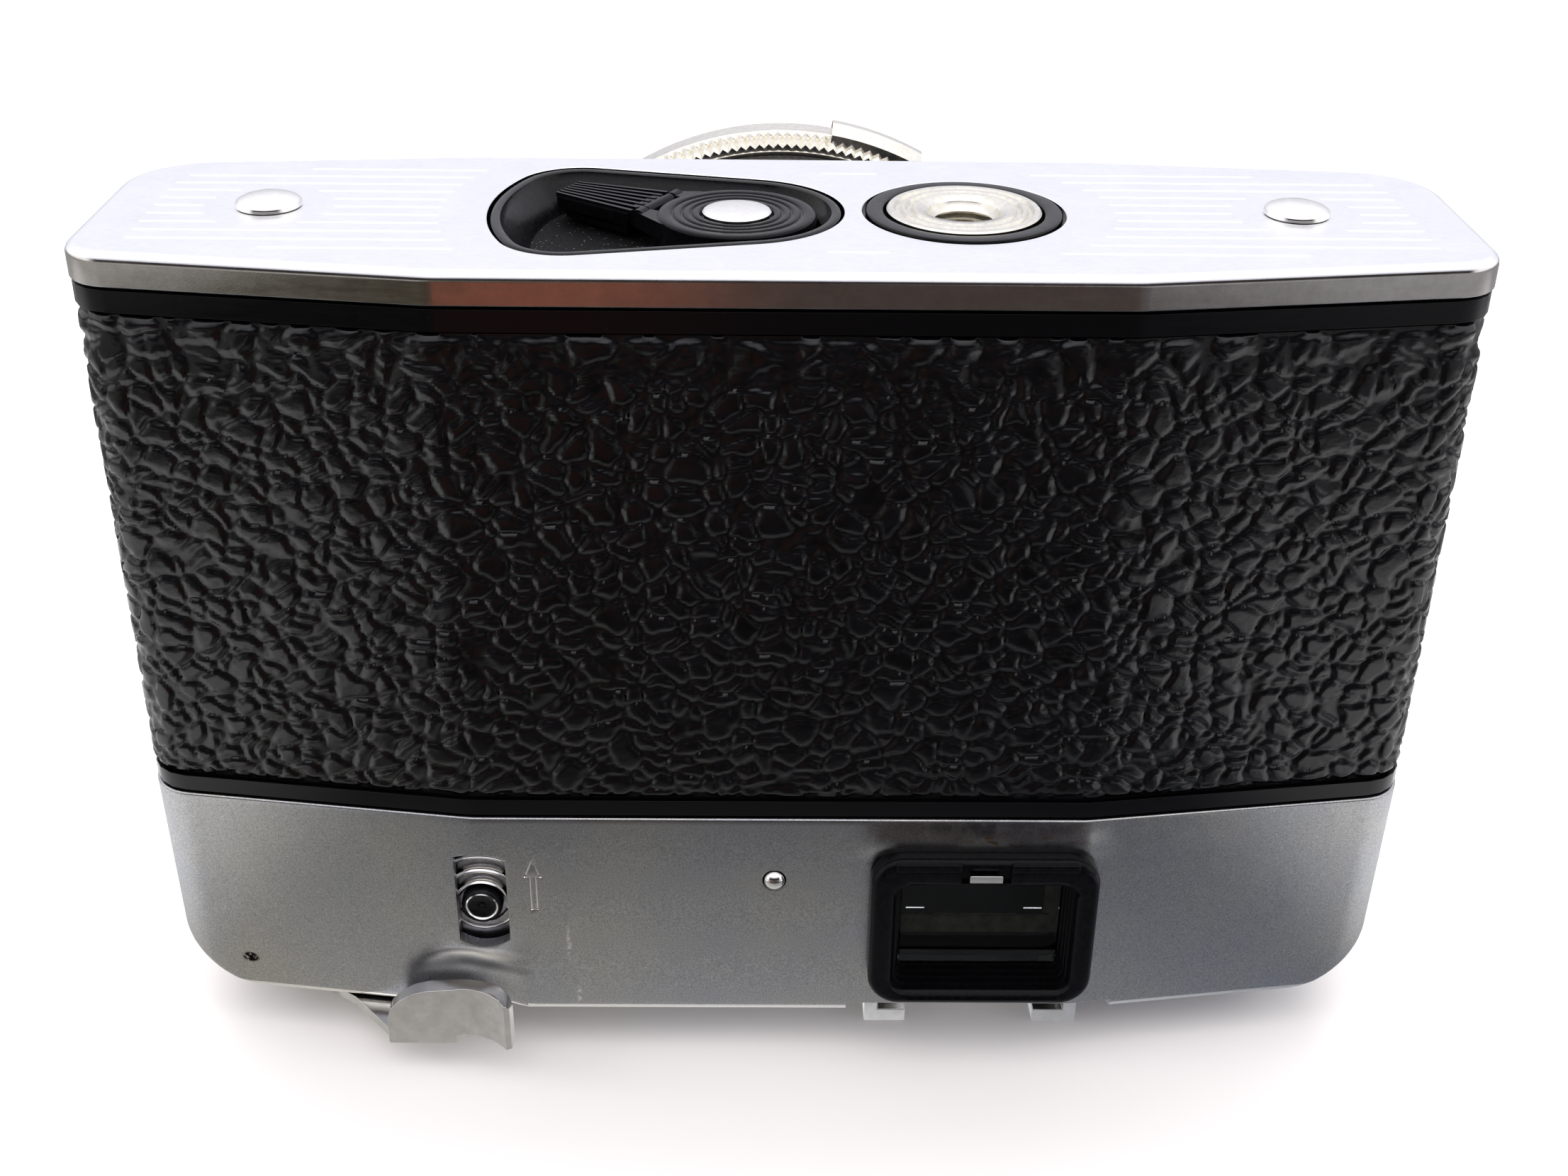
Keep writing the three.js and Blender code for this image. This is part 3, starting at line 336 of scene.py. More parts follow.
def resample(points, step, closed=True):
    """Points spaced evenly along a line of points."""
    line = points + [points[0]] if closed else points
    lengths = [0.0]
    for a, b in zip(line, line[1:]):
        lengths.append(lengths[-1] + math.dist(a, b))
    count = max(2, round(lengths[-1] / step))
    made, k = [], 0
    for i in range(count if closed else count + 1):
        s = lengths[-1] * i / count
        while k < len(lengths) - 2 and lengths[k + 1] < s:
            k += 1
        t = (s - lengths[k]) / max(lengths[k + 1] - lengths[k], 1e-9)
        a, b = line[k], line[k + 1]
        made.append((a[0] + (b[0] - a[0]) * t, a[1] + (b[1] - a[1]) * t))
    return made


def rounded_rect(x0, x1, z0, z1, r, steps=8):
    q = math.pi / 2
    return (
        arc(x1 - r, z1 - r, r, 0, q, steps)
        + arc(x0 + r, z1 - r, r, q, 2 * q, steps)
        + arc(x0 + r, z0 + r, r, 2 * q, 3 * q, steps)
        + arc(x1 - r, z0 + r, r, 3 * q, 4 * q, steps)
    )


RECESS_HUB_R = 9.0
RECESS_CORNER_R = 5.5
RECESS_CORNER = (-14.1, 6.6)


def recess_outline(inset):
    """Outline of the crank recess: a hub circle and a wide end struck about the hub."""
    far = math.hypot(*RECESS_CORNER)
    aim = math.atan2(RECESS_CORNER[1], RECESS_CORNER[0])
    tangent = aim - math.acos((RECESS_HUB_R - RECESS_CORNER_R) / far)
    full = 2 * math.pi
    corner_x = CRANK_X + RECESS_CORNER[0]
    upper = (corner_x, AXIS_Y + RECESS_CORNER[1])
    lower = (corner_x, AXIS_Y - RECESS_CORNER[1])
    return (
        arc(CRANK_X, AXIS_Y, RECESS_HUB_R - inset, -tangent, tangent, 36)
        + arc(*upper, RECESS_CORNER_R - inset, tangent, aim, 16)
        + arc(CRANK_X, AXIS_Y, far + RECESS_CORNER_R - inset, aim, full - aim, 20)[1:-1]
        + arc(*lower, RECESS_CORNER_R - inset, full - aim, full - tangent, 16)
    )


def smoothstep(x, low, high):
    t = min(max((x - low) / (high - low), 0.0), 1.0)
    return t * t * (3 - 2 * t)


# ---------------------------------------------------------------- node helpers


class Shader:
    """A material's node tree around its Principled shader; texture coordinates are millimetres."""

    def __init__(self, name, **uniform):
        self.material = bpy.data.materials.new(name)
        self.material.use_nodes = True
        self.nodes = self.material.node_tree.nodes
        self.links = self.material.node_tree.links
        self.out = self.nodes["Principled BSDF"]
        for socket, value in uniform.items():
            self.out.inputs[socket.replace("_", " ")].default_value = value
        place_node = self.nodes.new("ShaderNodeTexCoord")
        scale = self.nodes.new("ShaderNodeVectorMath")
        scale.operation = "SCALE"
        scale.inputs["Scale"].default_value = 1 / MM
        self.links.new(place_node.outputs["Object"], scale.inputs[0])
        self.mm = scale.outputs[0]

    def stretch(self, x, y, z):
        """Coordinates squeezed or stretched along the axes."""
        node = self.nodes.new("ShaderNodeVectorMath")
        node.operation = "MULTIPLY"
        node.inputs[1].default_value = (x, y, z)
        self.links.new(self.mm, node.inputs[0])
        return node.outputs[0]

    def noise(self, scale, detail=3.0, roughness=0.5, at=None, distortion=0.0):
        node = self.nodes.new("ShaderNodeTexNoise")
        node.inputs["Scale"].default_value = scale
        node.inputs["Detail"].default_value = detail
        node.inputs["Roughness"].default_value = roughness
        node.inputs["Distortion"].default_value = distortion
        self.links.new(at or self.mm, node.inputs["Vector"])
        return node.outputs["Fac"]

    def cells(self, scale, feature="F1", at=None):
        node = self.nodes.new("ShaderNodeTexVoronoi")
        node.feature = feature
        node.inputs["Scale"].default_value = scale
        self.links.new(at or self.mm, node.inputs["Vector"])
        return node.outputs["Distance"]

    def ramp(self, source, *stops):
        """Colour or grey stops of (position, value) along a source."""
        node = self.nodes.new("ShaderNodeValToRGB")
        elements = node.color_ramp.elements
        while len(elements) < len(stops):
            elements.new(0.5)
        for element, (position, value) in zip(elements, stops):
            element.position = position
            colour = value if isinstance(value, tuple) else (value, value, value)
            element.color = (*colour, 1)
        self.links.new(source, node.inputs["Fac"])
        return node.outputs["Color"]

    def math(self, operation, a, b=0.0, clamp=False):
        node = self.nodes.new("ShaderNodeMath")
        node.operation = operation
        node.use_clamp = clamp
        for socket, value in zip(node.inputs, (a, b)):
            if isinstance(value, (int, float)):
                socket.default_value = value
            else:
                self.links.new(value, socket)
        return node.outputs[0]

    def near(self, centre, size, soft=0.35):
        """1 inside an ellipsoid of the given half sizes about a camera point, fading to 0 outside it."""
        offset = self.nodes.new("ShaderNodeVectorMath")
        offset.operation = "SUBTRACT"
        offset.inputs[1].default_value = row(*centre) / MM
        self.links.new(self.mm, offset.inputs[0])
        ratio = self.nodes.new("ShaderNodeVectorMath")
        ratio.operation = "DIVIDE"
        ratio.inputs[1].default_value = size
        self.links.new(offset.outputs[0], ratio.inputs[0])
        length = self.nodes.new("ShaderNodeVectorMath")
        length.operation = "LENGTH"
        self.links.new(ratio.outputs[0], length.inputs[0])
        return self.ramp(length.outputs["Value"], (1 - soft, 1.0), (1.0, 0.0))

    def mix(self, factor, a, b):
        node = self.nodes.new("ShaderNodeMix")
        node.data_type = "RGBA"
        for socket, value in (("Factor", factor), ("A", a), ("B", b)):
            found = [s for s in node.inputs if s.name == socket and s.enabled][0]
            if isinstance(value, tuple):
                found.default_value = (*value, 1)
            elif isinstance(value, (int, float)):
                found.default_value = value
            else:
                self.links.new(value, found)
        return [s for s in node.outputs if s.enabled][0]

    def set(self, socket, source):
        self.links.new(source, self.out.inputs[socket])
        return self

    def bump(self, height, depth, strength=1.0, below=None):
        """Bump of a height in millimetres, over another bump if one is given."""
        node = self.nodes.new("ShaderNodeBump")
        node.inputs["Distance"].default_value = depth * MM
        node.inputs["Strength"].default_value = strength
        self.links.new(height, node.inputs["Height"])
        if below is not None:
            self.links.new(below, node.inputs["Normal"])
        self.links.new(node.outputs["Normal"], self.out.inputs["Normal"])
        return node.outputs["Normal"]


# ---------------------------------------------------------------- materials


def brass_wear(s, base):
    """Plating rubbed through to brass on the swelling above the eyepiece."""
    patch = s.near((22.0, -17.2, 25.75), (7.5, 2.5, 0.75), 0.7)
    specks = s.ramp(s.noise(1.6, 4, 0.65, s.stretch(0.6, 1, 1.6)), (0.53, 0.0), (0.62, 1.0))
    worn = s.math("MULTIPLY", patch, specks)
    return s.mix(worn, base, (0.33, 0.2, 0.09))


def scratches(s, base):
    """Two light upright scratches right of the slider window."""
    for x, z, height in ((-19.95, 13.0, 2.6), (-19.2, 6.6, 1.5)):
        patch = s.near((x, -16.3, z), (0.3, 2.0, height), 0.8)
        broken = s.ramp(s.noise(1.9, 3, 0.6), (0.45, 0.0), (0.52, 1.0))
        base = s.mix(s.math("MULTIPLY", patch, broken), base, (0.85, 0.83, 0.8))
    return base


def dish_painted_light(s, base):
    """The dish under the thumb: a painted highlight, near-white, along its top, and painted shade just below it."""
    # Painted shade: a dark band on the dish just below its top.
    painted_shade = s.near((-29.7, -15.6, 9.4), (6.4, 3.0, 1.2), 0.6)
    base = s.mix(s.math("MULTIPLY", painted_shade, 0.8), base, (0.10, 0.10, 0.11))
    # Painted highlight: near-white colour along the top of the dish.
    dish_highlight = s.near((-29.0, -16.0, 11.4), (5.0, 3.0, 1.1), 0.75)
    return s.mix(dish_highlight, base, (1.0, 0.98, 0.94))


def painted_shade(s, base):
    """Painted shade: darker, cloudy colour on the upward slope above the swelling at the eyepiece."""
    # Painted shade over the slope above the swelling's crest.
    patch = s.near((20.0, -16.4, 26.9), (10.5, 3.0, 1.2), 0.7)
    cloudy = s.ramp(s.noise(0.9, 4, 0.6), (0.35, 0.3), (0.6, 0.8))
    return s.mix(s.math("MULTIPLY", patch, cloudy), base, (0.14, 0.14, 0.16))


def paint_chip(s, base):
    """Black chip low on the left end."""
    dent = s.near((-51.6, -13.4, 8.5), (1.0, 3.0, 0.7), 0.3)
    ragged = s.ramp(s.noise(1.8, 4, 0.7), (0.42, 0.0), (0.47, 1.0))
    return s.mix(s.math("MULTIPLY", dent, ragged), base, (0.01, 0.01, 0.01))


def satin_chrome():
    s = Shader("satin_chrome", Metallic=1.0)
    speckle = s.ramp(s.noise(7.0, 3, 0.8), (0.34, (0.36, 0.36, 0.37)), (0.66, (0.64, 0.64, 0.645)))
    clouds = s.noise(0.09, 3, 0.5)
    tone = s.ramp(clouds, (0.35, (0.92, 0.93, 0.97)), (0.65, (1.0, 0.985, 0.95)))
    node = s.nodes.new("ShaderNodeMix")
    node.data_type, node.blend_type = "RGBA", "MULTIPLY"
    node.inputs[0].default_value = 1.0
    s.links.new(speckle, node.inputs[6])
    s.links.new(tone, node.inputs[7])
    # The base colour carries painted shade and a painted highlight at the thumb dish, painted shade above the swelling,
    # and real wear, scratches and a chip.
    base = paint_chip(s, scratches(s, brass_wear(s, painted_shade(s, dish_painted_light(s, node.outputs[2])))))
    s.set("Base Color", base)
    s.set("Roughness", s.ramp(s.noise(0.6, 5, 0.6), (0.3, 0.27), (0.7, 0.36)))
    s.bump(s.noise(5.5, 5, 0.75), 0.02, 0.45)
    return s.material


def base_plate():
    s = Shader("base_plate", Metallic=1.0)
    grain = s.noise(3.0, 5, 0.65, s.stretch(0.5, 1.4, 1.4))
    s.set("Base Color", s.ramp(grain, (0.3, (0.88, 0.88, 0.91)), (0.7, (0.95, 0.95, 0.97))))
    s.set("Roughness", s.ramp(s.noise(0.25, 5, 0.65), (0.3, 0.27), (0.7, 0.36)))
    s.bump(s.noise(6.0, 4, 0.7), 0.008, 0.35)
    return s.material


def base_side():
    s = Shader("base_side", Metallic=1.0)
    s.set("Base Color", s.ramp(s.noise(0.5, 5, 0.7), (0.3, (0.66, 0.63, 0.61)), (0.7, (0.80, 0.77, 0.75))))
    smears = s.noise(0.7, 5, 0.7, s.stretch(0.25, 0.25, 2.2))
    s.set("Roughness", s.ramp(smears, (0.35, 0.08), (0.7, 0.2)))
    s.bump(s.noise(9.0, 3, 0.7), 0.006, 0.5)
    return s.material


def polished_steel():
    s = Shader("polished_steel", Metallic=1.0)
    s.set("Base Color", s.ramp(s.noise(1.2, 4, 0.6), (0.3, (0.70, 0.70, 0.71)), (0.7, (0.82, 0.82, 0.83))))
    brushed = s.noise(2.2, 4, 0.65, s.stretch(0.35, 1.2, 4.0))
    s.set("Roughness", s.ramp(brushed, (0.3, 0.2), (0.7, 0.32)))
    s.bump(brushed, 0.008, 0.35)
    return s.material


def bright_alloy():
    s = Shader("bright_alloy", Metallic=1.0)
    s.set("Base Color", s.ramp(s.noise(1.8, 4, 0.6), (0.3, (0.74, 0.71, 0.64)), (0.7, (0.88, 0.85, 0.78))))
    s.set("Roughness", s.ramp(s.noise(1.1, 5, 0.65), (0.3, 0.14), (0.7, 0.28)))
    s.bump(s.noise(4.0, 4, 0.6), 0.01, 0.25)
    return s.material


def mirror_stud():
    s = Shader("mirror_stud", Metallic=1.0)
    s.set("Base Color", s.ramp(s.noise(1.5, 4, 0.6), (0.3, (0.90, 0.88, 0.85)), (0.7, (0.97, 0.96, 0.94))))
    s.set("Roughness", s.ramp(s.noise(1.4, 4, 0.6), (0.35, 0.05), (0.75, 0.14)))
    s.bump(s.noise(3.0, 3, 0.5), 0.004, 0.3)
    return s.material


def brass():
    s = Shader("brass", Metallic=1.0)
    s.set("Base Color", s.ramp(s.noise(1.0, 5, 0.6), (0.3, (0.52, 0.36, 0.13)), (0.7, (0.72, 0.55, 0.25))))
    s.set("Roughness", s.ramp(s.noise(1.6, 4, 0.6), (0.3, 0.22), (0.7, 0.4)))
    s.bump(s.noise(5.0, 3, 0.6), 0.01, 0.3)
    return s.material


def spring_steel():
    s = Shader("spring_steel", Metallic=1.0)
    s.set("Base Color", s.ramp(s.noise(0.8, 5, 0.6), (0.3, (0.36, 0.36, 0.38)), (0.7, (0.52, 0.52, 0.54))))
    s.set("Roughness", s.ramp(s.noise(2.0, 4, 0.6), (0.3, 0.25), (0.7, 0.42)))
    s.bump(s.noise(5.0, 3, 0.6), 0.01, 0.3)
    return s.material


def gloss_black():
    """Glossy black enamel with fine wiping marks and dust."""
    s = Shader("gloss_black", Specular_IOR_Level=0.35, Coat_Weight=0.25, Coat_Roughness=0.06)
    dust = s.ramp(s.noise(4.5, 3, 0.6), (0.70, (0.003, 0.003, 0.004)), (0.78, (0.04, 0.04, 0.045)))
    s.set("Base Color", dust)
    s.set("Roughness", s.ramp(s.noise(1.1, 5, 0.7, s.stretch(0.3, 0.3, 2.5)), (0.35, 0.1), (0.7, 0.26)))
    s.bump(s.noise(1.3, 3, 0.5, s.stretch(0.4, 0.4, 1.5)), 0.02, 0.3)
    return s.material


def black_casting():
    s = Shader("black_casting")
    s.set("Base Color", s.ramp(s.noise(2.5, 4, 0.6), (0.3, (0.008, 0.008, 0.009)), (0.7, (0.02, 0.02, 0.022))))
    s.set("Roughness", s.ramp(s.noise(1.2, 4, 0.6), (0.3, 0.35), (0.7, 0.55)))
    s.bump(s.noise(4.0, 4, 0.7), 0.04, 0.5)
    return s.material


def black_plastic():
    s = Shader("black_plastic", Specular_IOR_Level=0.2)
    s.set("Base Color", s.ramp(s.noise(2.0, 4, 0.6), (0.3, (0.002, 0.002, 0.003)), (0.75, (0.007, 0.007, 0.009))))
    s.set("Roughness", s.ramp(s.noise(2.4, 5, 0.65), (0.3, 0.14), (0.7, 0.26)))
    s.bump(s.noise(6.0, 4, 0.7), 0.02, 0.4)
    return s.material


def recess_plastic():
    s = Shader("recess_plastic", Specular_IOR_Level=0.3)
    s.set("Base Color", s.ramp(s.noise(3.0, 4, 0.6), (0.35, (0.004, 0.004, 0.005)), (0.75, (0.013, 0.013, 0.014))))
    s.set("Roughness", s.ramp(s.noise(1.5, 5, 0.65), (0.3, 0.16), (0.7, 0.3)))
    s.bump(s.noise(5.0, 3, 0.6), 0.01, 0.35)
    return s.material


def recess_floor():
    """Rough floor of the recess, with grey dust specks."""
    s = Shader("recess_floor", Specular_IOR_Level=0.25)
    specks = s.ramp(s.cells(1.7), (0.06, (0.2, 0.2, 0.21)), (0.16, (0.006, 0.006, 0.007)))
    s.set("Base Color", specks)
    s.set("Roughness", s.ramp(s.noise(3.0, 4, 0.6), (0.3, 0.45), (0.7, 0.75)))
    s.bump(s.noise(2.6, 5, 0.75), 0.12, 0.8)
    return s.material


def black_anodised():
    s = Shader("black_anodised", Metallic=0.6)
    s.set("Base Color", s.ramp(s.noise(1.5, 4, 0.6), (0.3, (0.009, 0.009, 0.011)), (0.7, (0.024, 0.024, 0.027))))
    s.set("Roughness", s.ramp(s.noise(1.8, 4, 0.6), (0.3, 0.24), (0.7, 0.4)))
    s.bump(s.noise(7.0, 3, 0.6), 0.008, 0.3)
    return s.material


def leather():
    """Black leatherette: fine pores over the modelled grain."""
    s = Shader("leather", Specular_IOR_Level=0.75)
    tone = s.ramp(s.noise(0.5, 5, 0.65), (0.3, (0.0015, 0.0015, 0.002)), (0.7, (0.005, 0.005, 0.007)))
    s.set("Base Color", tone)
    s.set("Roughness", s.ramp(s.noise(0.9, 6, 0.7), (0.3, 0.13), (0.7, 0.24)))
    pores = s.bump(s.cells(2.6), 0.02, 0.25)
    s.bump(s.noise(3.4, 6, 0.75), 0.03, 0.3, pores)
    return s.material


def glass():
    s = Shader("glass", Transmission_Weight=1.0, IOR=1.25)
    s.set("Base Color", s.ramp(s.noise(0.3, 3, 0.5), (0.3, (0.90, 0.93, 0.93)), (0.7, (0.97, 0.98, 0.98))))
    s.set("Roughness", s.ramp(s.noise(1.0, 4, 0.6), (0.4, 0.0), (0.8, 0.05)))
    return s.material


def coated_glass():
    """Lens glass with a faint blue-violet coating."""
    s = Shader("coated_glass", Transmission_Weight=1.0, IOR=1.55, Specular_Tint=(0.55, 0.5, 1.0, 1.0))
    s.set("Base Color", s.ramp(s.noise(0.3, 3, 0.5), (0.3, (0.86, 0.86, 0.97)), (0.7, (0.95, 0.94, 1.0))))
    s.set("Roughness", s.ramp(s.noise(1.0, 4, 0.6), (0.45, 0.0), (0.8, 0.04)))
    return s.material


def worn_chrome():
    """Polished plating gone slightly dull, on the lever and the shoe."""
    s = Shader("worn_chrome", Metallic=1.0)
    s.set("Base Color", s.ramp(s.noise(0.7, 5, 0.6), (0.3, (0.64, 0.63, 0.62)), (0.7, (0.76, 0.755, 0.745))))
    s.set("Roughness", s.ramp(s.noise(1.2, 5, 0.65), (0.3, 0.12), (0.7, 0.22)))
    s.bump(s.noise(2.5, 4, 0.6), 0.006, 0.3)
    return s.material


def olive_mask():
    s = Shader("olive_mask", Specular_IOR_Level=0.2)
    s.set("Base Color", s.ramp(s.noise(0.7, 4, 0.6), (0.3, (0.06, 0.06, 0.04)), (0.7, (0.14, 0.14, 0.10))))
    s.set("Roughness", s.ramp(s.noise(1.5, 4, 0.6), (0.3, 0.4), (0.7, 0.7)))
    s.bump(s.noise(4.0, 3, 0.6), 0.02, 0.4)
    return s.material


def foam():
    s = Shader("foam", Specular_IOR_Level=0.1)
    s.set("Base Color", s.ramp(s.noise(2.0, 5, 0.7), (0.3, (0.006, 0.006, 0.006)), (0.7, (0.03, 0.03, 0.03))))
    s.set("Roughness", s.ramp(s.noise(3.0, 4, 0.6), (0.3, 0.85), (0.7, 1.0)))
    s.bump(s.cells(3.5), 0.15, 0.8)
    return s.material


MATERIALS = {
    "satin_chrome": satin_chrome(),
    "base_plate": base_plate(),
    "polished_steel": polished_steel(),
    "bright_alloy": bright_alloy(),
    "brass": brass(),
    "spring_steel": spring_steel(),
    "gloss_black": gloss_black(),
    "black_casting": black_casting(),
    "black_plastic": black_plastic(),
    "recess_plastic": recess_plastic(),
    "black_anodised": black_anodised(),
    "leather": leather(),
    "glass": glass(),
    "foam": foam(),
}
BASE_SIDE = base_side()
MIRROR_STUD = mirror_stud()
RECESS_FLOOR = recess_floor()
COATED_GLASS = coated_glass()
OLIVE_MASK = olive_mask()
WORN_CHROME = worn_chrome()


# ---------------------------------------------------------------- camera, floor and light

LENS_MM = 43.62
CAMERA_AT = (-1.79, -159.04, 130.31)  # camera millimetres
PITCH, YAW, ROLL = (math.radians(a) for a in (28.73, 0.78, 0.73))


def add_camera():
    data = bpy.data.cameras.new("view")
    data.lens, data.sensor_width = LENS_MM, 36
    data.clip_start, data.clip_end = 0.01, 20
    forward = Vector((
        math.sin(YAW) * math.cos(PITCH), math.cos(YAW) * math.cos(PITCH), -math.sin(PITCH)
    ))
    level = Vector((math.cos(YAW), -math.sin(YAW), 0))
    upright = level.cross(forward)
    right = level * math.cos(ROLL) + upright * math.sin(ROLL)
    up = upright * math.cos(ROLL) - level * math.sin(ROLL)
    turn = Matrix((right, up, -forward)).transposed().to_4x4()
    camera = bpy.data.objects.new("view", data)
    camera.matrix_world = Matrix.Translation(row(*CAMERA_AT)) @ turn
    bpy.context.scene.collection.objects.link(camera)
    bpy.context.scene.camera = camera


def floor_with_painted_reflection():
    s = Shader("floor_with_painted_reflection", Roughness=0.9, Specular_IOR_Level=0.1)
    s.set("Base Color", s.ramp(s.noise(0.01, 3, 0.5), (0.3, (0.93, 0.895, 0.885)), (0.7, (0.95, 0.92, 0.91))))
    # Painted reflections for glossy rays: light falling off with distance from the camera body, a warm-to-cool light
    # tint across, white far to the sides and a brown room farther out.
    parts = s.nodes.new("ShaderNodeSeparateXYZ")
    s.links.new(s.mm, parts.inputs[0])
    x, y, _ = parts.outputs
    away = s.math("SQRT", s.math("ADD", s.math("POWER", s.math("MULTIPLY", x, 0.5), 2), s.math("POWER", y, 2)))
    across = s.math("MULTIPLY_ADD", x, 1 / 400)
    across.node.inputs[2].default_value = 0.5
    tint = s.ramp(across, (0.36, (1.0, 0.97, 0.90)), (0.62, (0.62, 0.64, 0.70)))
    lit = s.ramp(
        s.math("MULTIPLY", away, 1 / 260),
        (0.065, 0.98), (0.085, 0.66), (0.12, 0.50), (0.21, 0.33), (0.28, 0.14), (0.38, 0.05),
    )
    node = s.nodes.new("ShaderNodeMix")
    node.data_type, node.blend_type = "RGBA", "MULTIPLY"
    node.inputs[0].default_value = 1.0
    s.links.new(lit, node.inputs[6])
    s.links.new(tint, node.inputs[7])
    aside = s.ramp(s.math("MULTIPLY", s.math("ABSOLUTE", x), 0.01), (0.60, 0.0), (0.82, 1.0))
    sheet = s.mix(aside, node.outputs[2], (0.97, 0.97, 0.98))
    olive, rust, brown, grey = (0.07, 0.062, 0.047), (0.21, 0.09, 0.065), (0.08, 0.066, 0.062), (0.13, 0.125, 0.13)
    room = s.ramp(
        across,
        (0.02, (0.34, 0.34, 0.33)), (0.1, olive), (0.3, olive), (0.315, rust), (0.42, rust),
        (0.5, brown), (0.7, brown), (0.84, grey), (0.97, (0.32, 0.32, 0.33)),
    )
    far = s.ramp(s.math("MULTIPLY", away, 1 / 260), (0.42, 0.0), (0.62, 1.0))
    # The painted reflections glow as emission, for glossy rays only.
    painted_glow = s.nodes.new("ShaderNodeEmission")
    s.links.new(s.mix(far, sheet, room), painted_glow.inputs["Color"])
    pick = s.nodes.new("ShaderNodeMixShader")
    s.links.new(s.nodes.new("ShaderNodeLightPath").outputs["Is Glossy Ray"], pick.inputs[0])
    s.links.new(s.out.outputs[0], pick.inputs[1])
    s.links.new(painted_glow.outputs[0], pick.inputs[2])
    s.links.new(pick.outputs[0], s.nodes["Material Output"].inputs["Surface"])
    return s.material


def add_floor():
    """A plain pale floor to the eye; glossy rays see it glow with painted reflections: a painted light falloff near the
    camera body, fading into a painted brown room away from it.
    """
    half = 3.0
    mesh = bpy.data.meshes.new("floor")
    mesh.from_pydata([(-half, -half, 0), (half, -half, 0), (half, half, 0), (-half, half, 0)], [], [(0, 1, 2, 3)])
    floor = add_object("floor", mesh)
    mesh.materials.append(floor_with_painted_reflection())


def add_world():
    """Bright studio above and at the sides, a dim brown room behind the viewer, plain white to the eye."""
    world = bpy.data.worlds.new("studio")
    bpy.context.scene.world = world
    world.use_nodes = True
    nodes, links = world.node_tree.nodes, world.node_tree.links
    background = nodes["Background"]
    direction = nodes.new("ShaderNodeTexCoord").outputs["Generated"]
    split = nodes.new("ShaderNodeSeparateXYZ")
    links.new(direction, split.inputs[0])

    def ease(source, low, high):
        node = nodes.new("ShaderNodeMapRange")
        node.interpolation_type = "SMOOTHSTEP"
        node.inputs["From Min"].default_value = low
        node.inputs["From Max"].default_value = high
        links.new(source, node.inputs["Value"])
        return node.outputs["Result"]

    def blend(factor, a, b):
        node = nodes.new("ShaderNodeMix")
        node.data_type = "RGBA"
        links.new(factor, node.inputs[0])
        for socket, value in ((node.inputs[6], a), (node.inputs[7], b)):
            if isinstance(value, tuple):
                socket.default_value = (*value, 1)
            else:
                links.new(value, socket)
        return node.outputs[2]

    def product(a, b):
        node = nodes.new("ShaderNodeMath")
        node.operation = "MULTIPLY"
        links.new(a, node.inputs[0])
        links.new(b, node.inputs[1])
        return node.outputs[0]

    x, y, z = split.outputs
    sky = blend(ease(z, 0.0, 0.6), (0.62, 0.62, 0.67), (0.95, 0.95, 1.02))
    sky = blend(ease(z, 0.6, 0.92), sky, (1.3, 1.29, 1.28))
    room = product(ease(y, -0.2, -0.7), ease(z, 0.62, 0.3))
    shaded = blend(room, sky, (0.05, 0.045, 0.045))
    for low, high in ((-0.62, -0.9), (0.62, 0.9)):
        shaded = blend(ease(x, low, high), shaded, (1.0, 1.0, 1.0))
    eye = nodes.new("ShaderNodeLightPath").outputs["Is Camera Ray"]
    links.new(blend(eye, shaded, (1.0, 1.0, 1.0)), background.inputs["Color"])
    background.inputs["Strength"].default_value = 1.0


def add_light(name, at, towards, size, power, colour):
    data = bpy.data.lights.new(name, "AREA")
    data.shape, data.size, data.size_y = "RECTANGLE", size[0], size[1]
    data.energy, data.color = power, colour
    light = bpy.data.objects.new(name, data)
    light.location = at
    light.rotation_euler = (Vector(towards) - Vector(at)).to_track_quat("-Z", "Y").to_euler()
    light.visible_glossy = False
    bpy.context.scene.collection.objects.link(light)


def add_lights():
    middle = (0, 0, 0.04)
    add_light("softbox_above", (0.0, 0.35, 0.7), middle, (0.9, 0.6), 2.6, (1.0, 0.99, 0.98))
    add_light("softbox_left", (-0.75, -0.1, 0.35), middle, (0.5, 0.5), 1.6, (1.0, 0.98, 0.95))
    add_light("softbox_right", (0.75, -0.1, 0.35), middle, (0.5, 0.5), 1.6, (0.95, 0.97, 1.0))


# ---------------------------------------------------------------- leather


def pebbles(at, size, shoulder):
    """1 on the crest of a pebble falling to 0 in the crease beside it, with how far off its middle is."""
    near, _ = noise.voronoi(at / size, distance_metric="DISTANCE")
    return smoothstep(near[1] - near[0], 0.0, shoulder), min(near[0], 0.9)


def grain_depth(point, edge):
    """How far the leather lies below its crests at a point, in millimetres; edge is 1 by the top edge."""
    at = point + noise.noise_vector(point * 0.3) * 1.2 + noise.noise_vector(point * 0.9) * 0.3
    at.z *= 1.22
    crest, off = pebbles(at, 2.3, 0.26)
    crown = 0.10 * off * off
    if edge > 0:
        lump, off = pebbles(at, 3.4, 0.42)
        crest += (lump - crest) * 0.75 * edge
        crown += 0.12 * edge * off * off
    fine = noise.fractal(point * 2.2, 0.8, 2.0, 3) * 0.018
    swell = (noise.noise(point * 0.3) + 0.5) * 0.05
    return (0.27 + 0.07 * edge) * (1 - crest) + crown + swell + fine + 0.02


